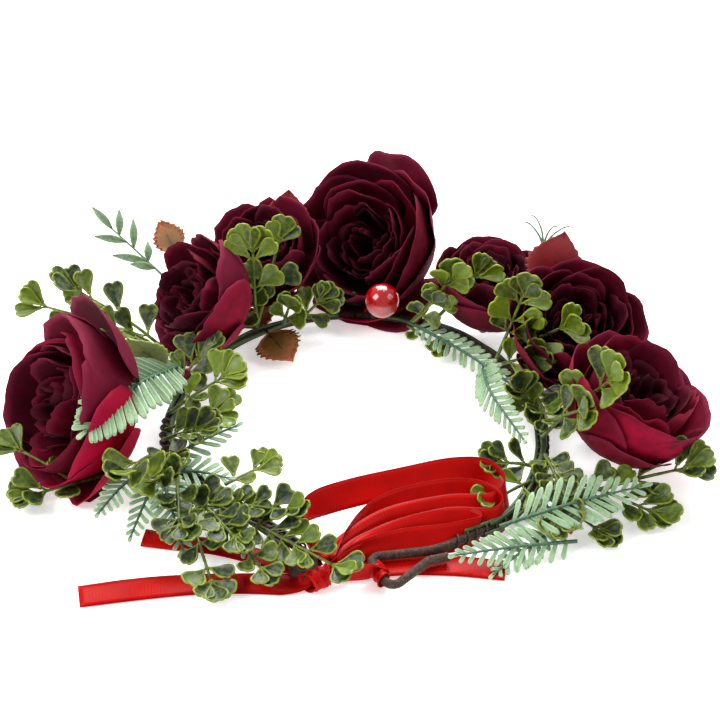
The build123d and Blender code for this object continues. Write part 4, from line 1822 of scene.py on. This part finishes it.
FERNS = [
    Fern(
        "fern_top_left", Body.LEFT,
        [Sprig((-82, 56, 14), (-118, -40, 44), (0, -0.68, 0.73), scale=18.5, bow=21)]
    ),
    Fern("fern_inner_left", Body.LEFT, [
        Sprig((-87, -14, 7.5), (-54, 4, 15), (0, -0.3, 1), scale=10.0, bow=2),
        Sprig((-84, -22, 7.5), (-56, -32, 12), (0, -0.3, 1), scale=10.0, bow=3),
        Sprig((-70, -44, 8), (-42, -40, 10), (0, -0.3, 1), scale=8.0, bow=2),
    ]),
    Fern("fern_low_left", Body.LEFT, [
        Sprig((-90, -18, 9), (-73, -78, 5), (0, -0.3, 1), scale=11.0, bow=5),
        Sprig((-86, -14, 6), (-98, -66, 6), (0, -0.3, 1), scale=9.0, bow=4),
        Sprig((-95, -20, 8), (-112, -62, 16), (0, -0.4, 1), scale=9.0, bow=4),
        Sprig((-80, -30, 8), (-42, -82, 6), (0, -0.3, 1), scale=9.0, bow=3),
    ]),
    Fern(
        "fern_inner_right", Body.RIGHT,
        [Sprig((27, 99, 9.5), (84, 28, 13), (0.1, -0.5, 1), scale=9.0, bow=4)]
    ),
    Fern(
        "fern_hanging", Body.RIGHT,
        [Sprig((63, 62, 10), (78, -10, 17), (-0.6, -0.3, 0.7), scale=10.0, bow=10)]
    ),
    Fern(
        "fern_outer_right", Body.RIGHT,
        [Sprig((64, -63, 10), (128, -45, 18), (0, -0.5, 1), scale=15.0, bow=3)]
    ),
    Fern("fern_low_right", Body.RIGHT, [
        Sprig((98, -66, 4), (44, -80, 8), (0, -0.6, 1), scale=11.0, bow=2),
        Sprig((86, -62, 6), (60, -86, 2), (0, -0.6, 1), scale=9.0, bow=2),
    ]),
]

LEAVES = [
    ToothedLeaf(
        "bristly_leaves_left",
        Body.LEFT,
        RUSSET,
        [
            Sprig((-72, 104, 10), (-102, 156, 34), (0, -0.7, 0.7), tone_and_shade=0.7),
            Sprig((-58, 94, 7.5), (-41, 108, 12), (0, -0.5, 1), tone_and_shade=0.5),
            Sprig((-45, 95, 7), (-31, 70, 6), (0, -0.5, 1), tone_and_shade=0.8),
        ],
        (19, 15, 27),
        (43, 3, 3),
        (8, 6, 9),
    ),
    ToothedLeaf(
        "bristly_leaf_right", Body.RIGHT, RUSSET,
        [Sprig((88, -38, 7), (96, -60, 3.5), (0, -0.4, 1), tone_and_shade=0.7)], (15,), (5,), (8,)
    ),
    ToothedLeaf(
        "olive_leaf", Body.LEFT, OLIVE,
        [Sprig((-86, 46, 12), (-106, 32, 44), (-0.3, -0.8, 0.6), tone_and_shade=0.6)], (19,), (10,), (8,),
        0.12
    ),
    ToothedLeaf(
        "fabric_leaf_left", Body.LEFT, LEAF_CLOTH,
        [Sprig((-38, 145, 26), (-34, 151, 56), (0.2, -1, 0.2), tone_and_shade=0.8)], (26,), (4,), (9,), 0.14,
        0.4
    ),
    ToothedLeaf(
        "fabric_leaf_right", Body.RIGHT, LEAF_CLOTH,
        [Sprig((94, 94, 26), (103, 96, 64), (0, -1, 0.2), tone_and_shade=0.35)], (30,), (6,), (9,), 0.14, 0.4
    ),
]


# ---------------------------------------------------------------- studio
@dataclass
class Studio:
    """White paper floor, soft lights and the camera."""

    eye: Point = (2.8, -718.1, 557.6)
    target: Point = (2.8, 19.2, 41.4)
    lens: float = 97.0
    sensor: float = 36.0
    floor_half: float = 6.0  # metres
    air: float = 0.45  # strength of the white surroundings

    def build(self) -> None:
        """Set the camera, the floor and the lights."""
        camera = bpy.data.cameras.new("studio_camera")
        camera.lens, camera.sensor_width = self.lens, self.sensor
        holder = bpy.data.objects.new("studio_camera", camera)
        way = Vector(self.target) - Vector(self.eye)
        holder.location = Vector(self.eye) * MM
        holder.rotation_euler = way.to_track_quat("-Z", "Y").to_euler()
        bpy.context.scene.collection.objects.link(holder)
        bpy.context.scene.camera = holder
        bm = bmesh.new()
        bmesh.ops.create_grid(bm, x_segments=1, y_segments=1, size=self.floor_half)
        mesh = bpy.data.meshes.new("paper_floor")
        bm.to_mesh(mesh)
        bm.free()
        mesh.materials.append(BACKDROP.material())
        floor = bpy.data.objects.new("paper_floor", mesh)
        bpy.context.scene.collection.objects.link(floor)
        self.lamp("key_left", (-900, -300, 900), 700, 13)
        self.lamp("fill_right", (1000, -200, 800), 700, 5)
        self.lamp("back_top", (0, 900, 900), 1000, 30)
        world = bpy.data.worlds.new("studio_air")
        world.use_nodes = True
        world.node_tree.nodes["Background"].inputs[0].default_value = srgb("#FFFFFF")
        world.node_tree.nodes["Background"].inputs[1].default_value = self.air
        bpy.context.scene.world = world
        bpy.context.scene.view_settings.view_transform = "Standard"

    def lamp(self, name: str, at: Point, size: float, power: float) -> None:
        """Hang one soft lamp that shines at the crown.

        Args:
            name: The lamp's name.
            at: Its place in millimetres.
            size: Its side in millimetres.
            power: Its power in watts.
        """
        data = bpy.data.lights.new(name, "AREA")
        data.size, data.energy = size * MM, power
        lamp = bpy.data.objects.new(name, data)
        lamp.location = Vector(at) * MM
        lamp.rotation_euler = (Vector((0, 20, 20)) - Vector(at)).to_track_quat("-Z", "Y").to_euler()
        bpy.context.scene.collection.objects.link(lamp)


def main() -> None:
    """Build the crown over its frame and report each piece."""
    logging.basicConfig(level=logging.INFO, format="%(message)s")
    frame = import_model()
    Studio().build()
    left = HoopHalf(Body.LEFT, 1, side_turn=45.0, corner_radius=47.6, corner_turn=45.8, arm=83.0)
    right = HoopHalf(Body.RIGHT, -1, side_turn=76.7, corner_radius=40.0, corner_turn=26.5, arm=28.0)
    Hoop((left, right), frame["nodes"]).dress()
    for sub_assembly in (*BLOOMS, *BOXWOODS, *FERNS, *LEAVES):
        sub_assembly.build()
    Twig(Sprig((-70, 96, 7), (-132, 165, 28), (0, -0.6, 1))).build()
    Tendril(Sprig((82, 72, 9), (96, 122, 41), (0, -0.8, 0.6))).build()
    Fruit((14, 95.5, 24.3), 8.8, (-80, 38, 17)).build()
    Ribbon((-15.4, -91.8, 5), (-0.85, -0.52, 0), (11, -88.4, 5), (0.43, -0.9, 0)).build()


if __name__ == "__main__":
    main()
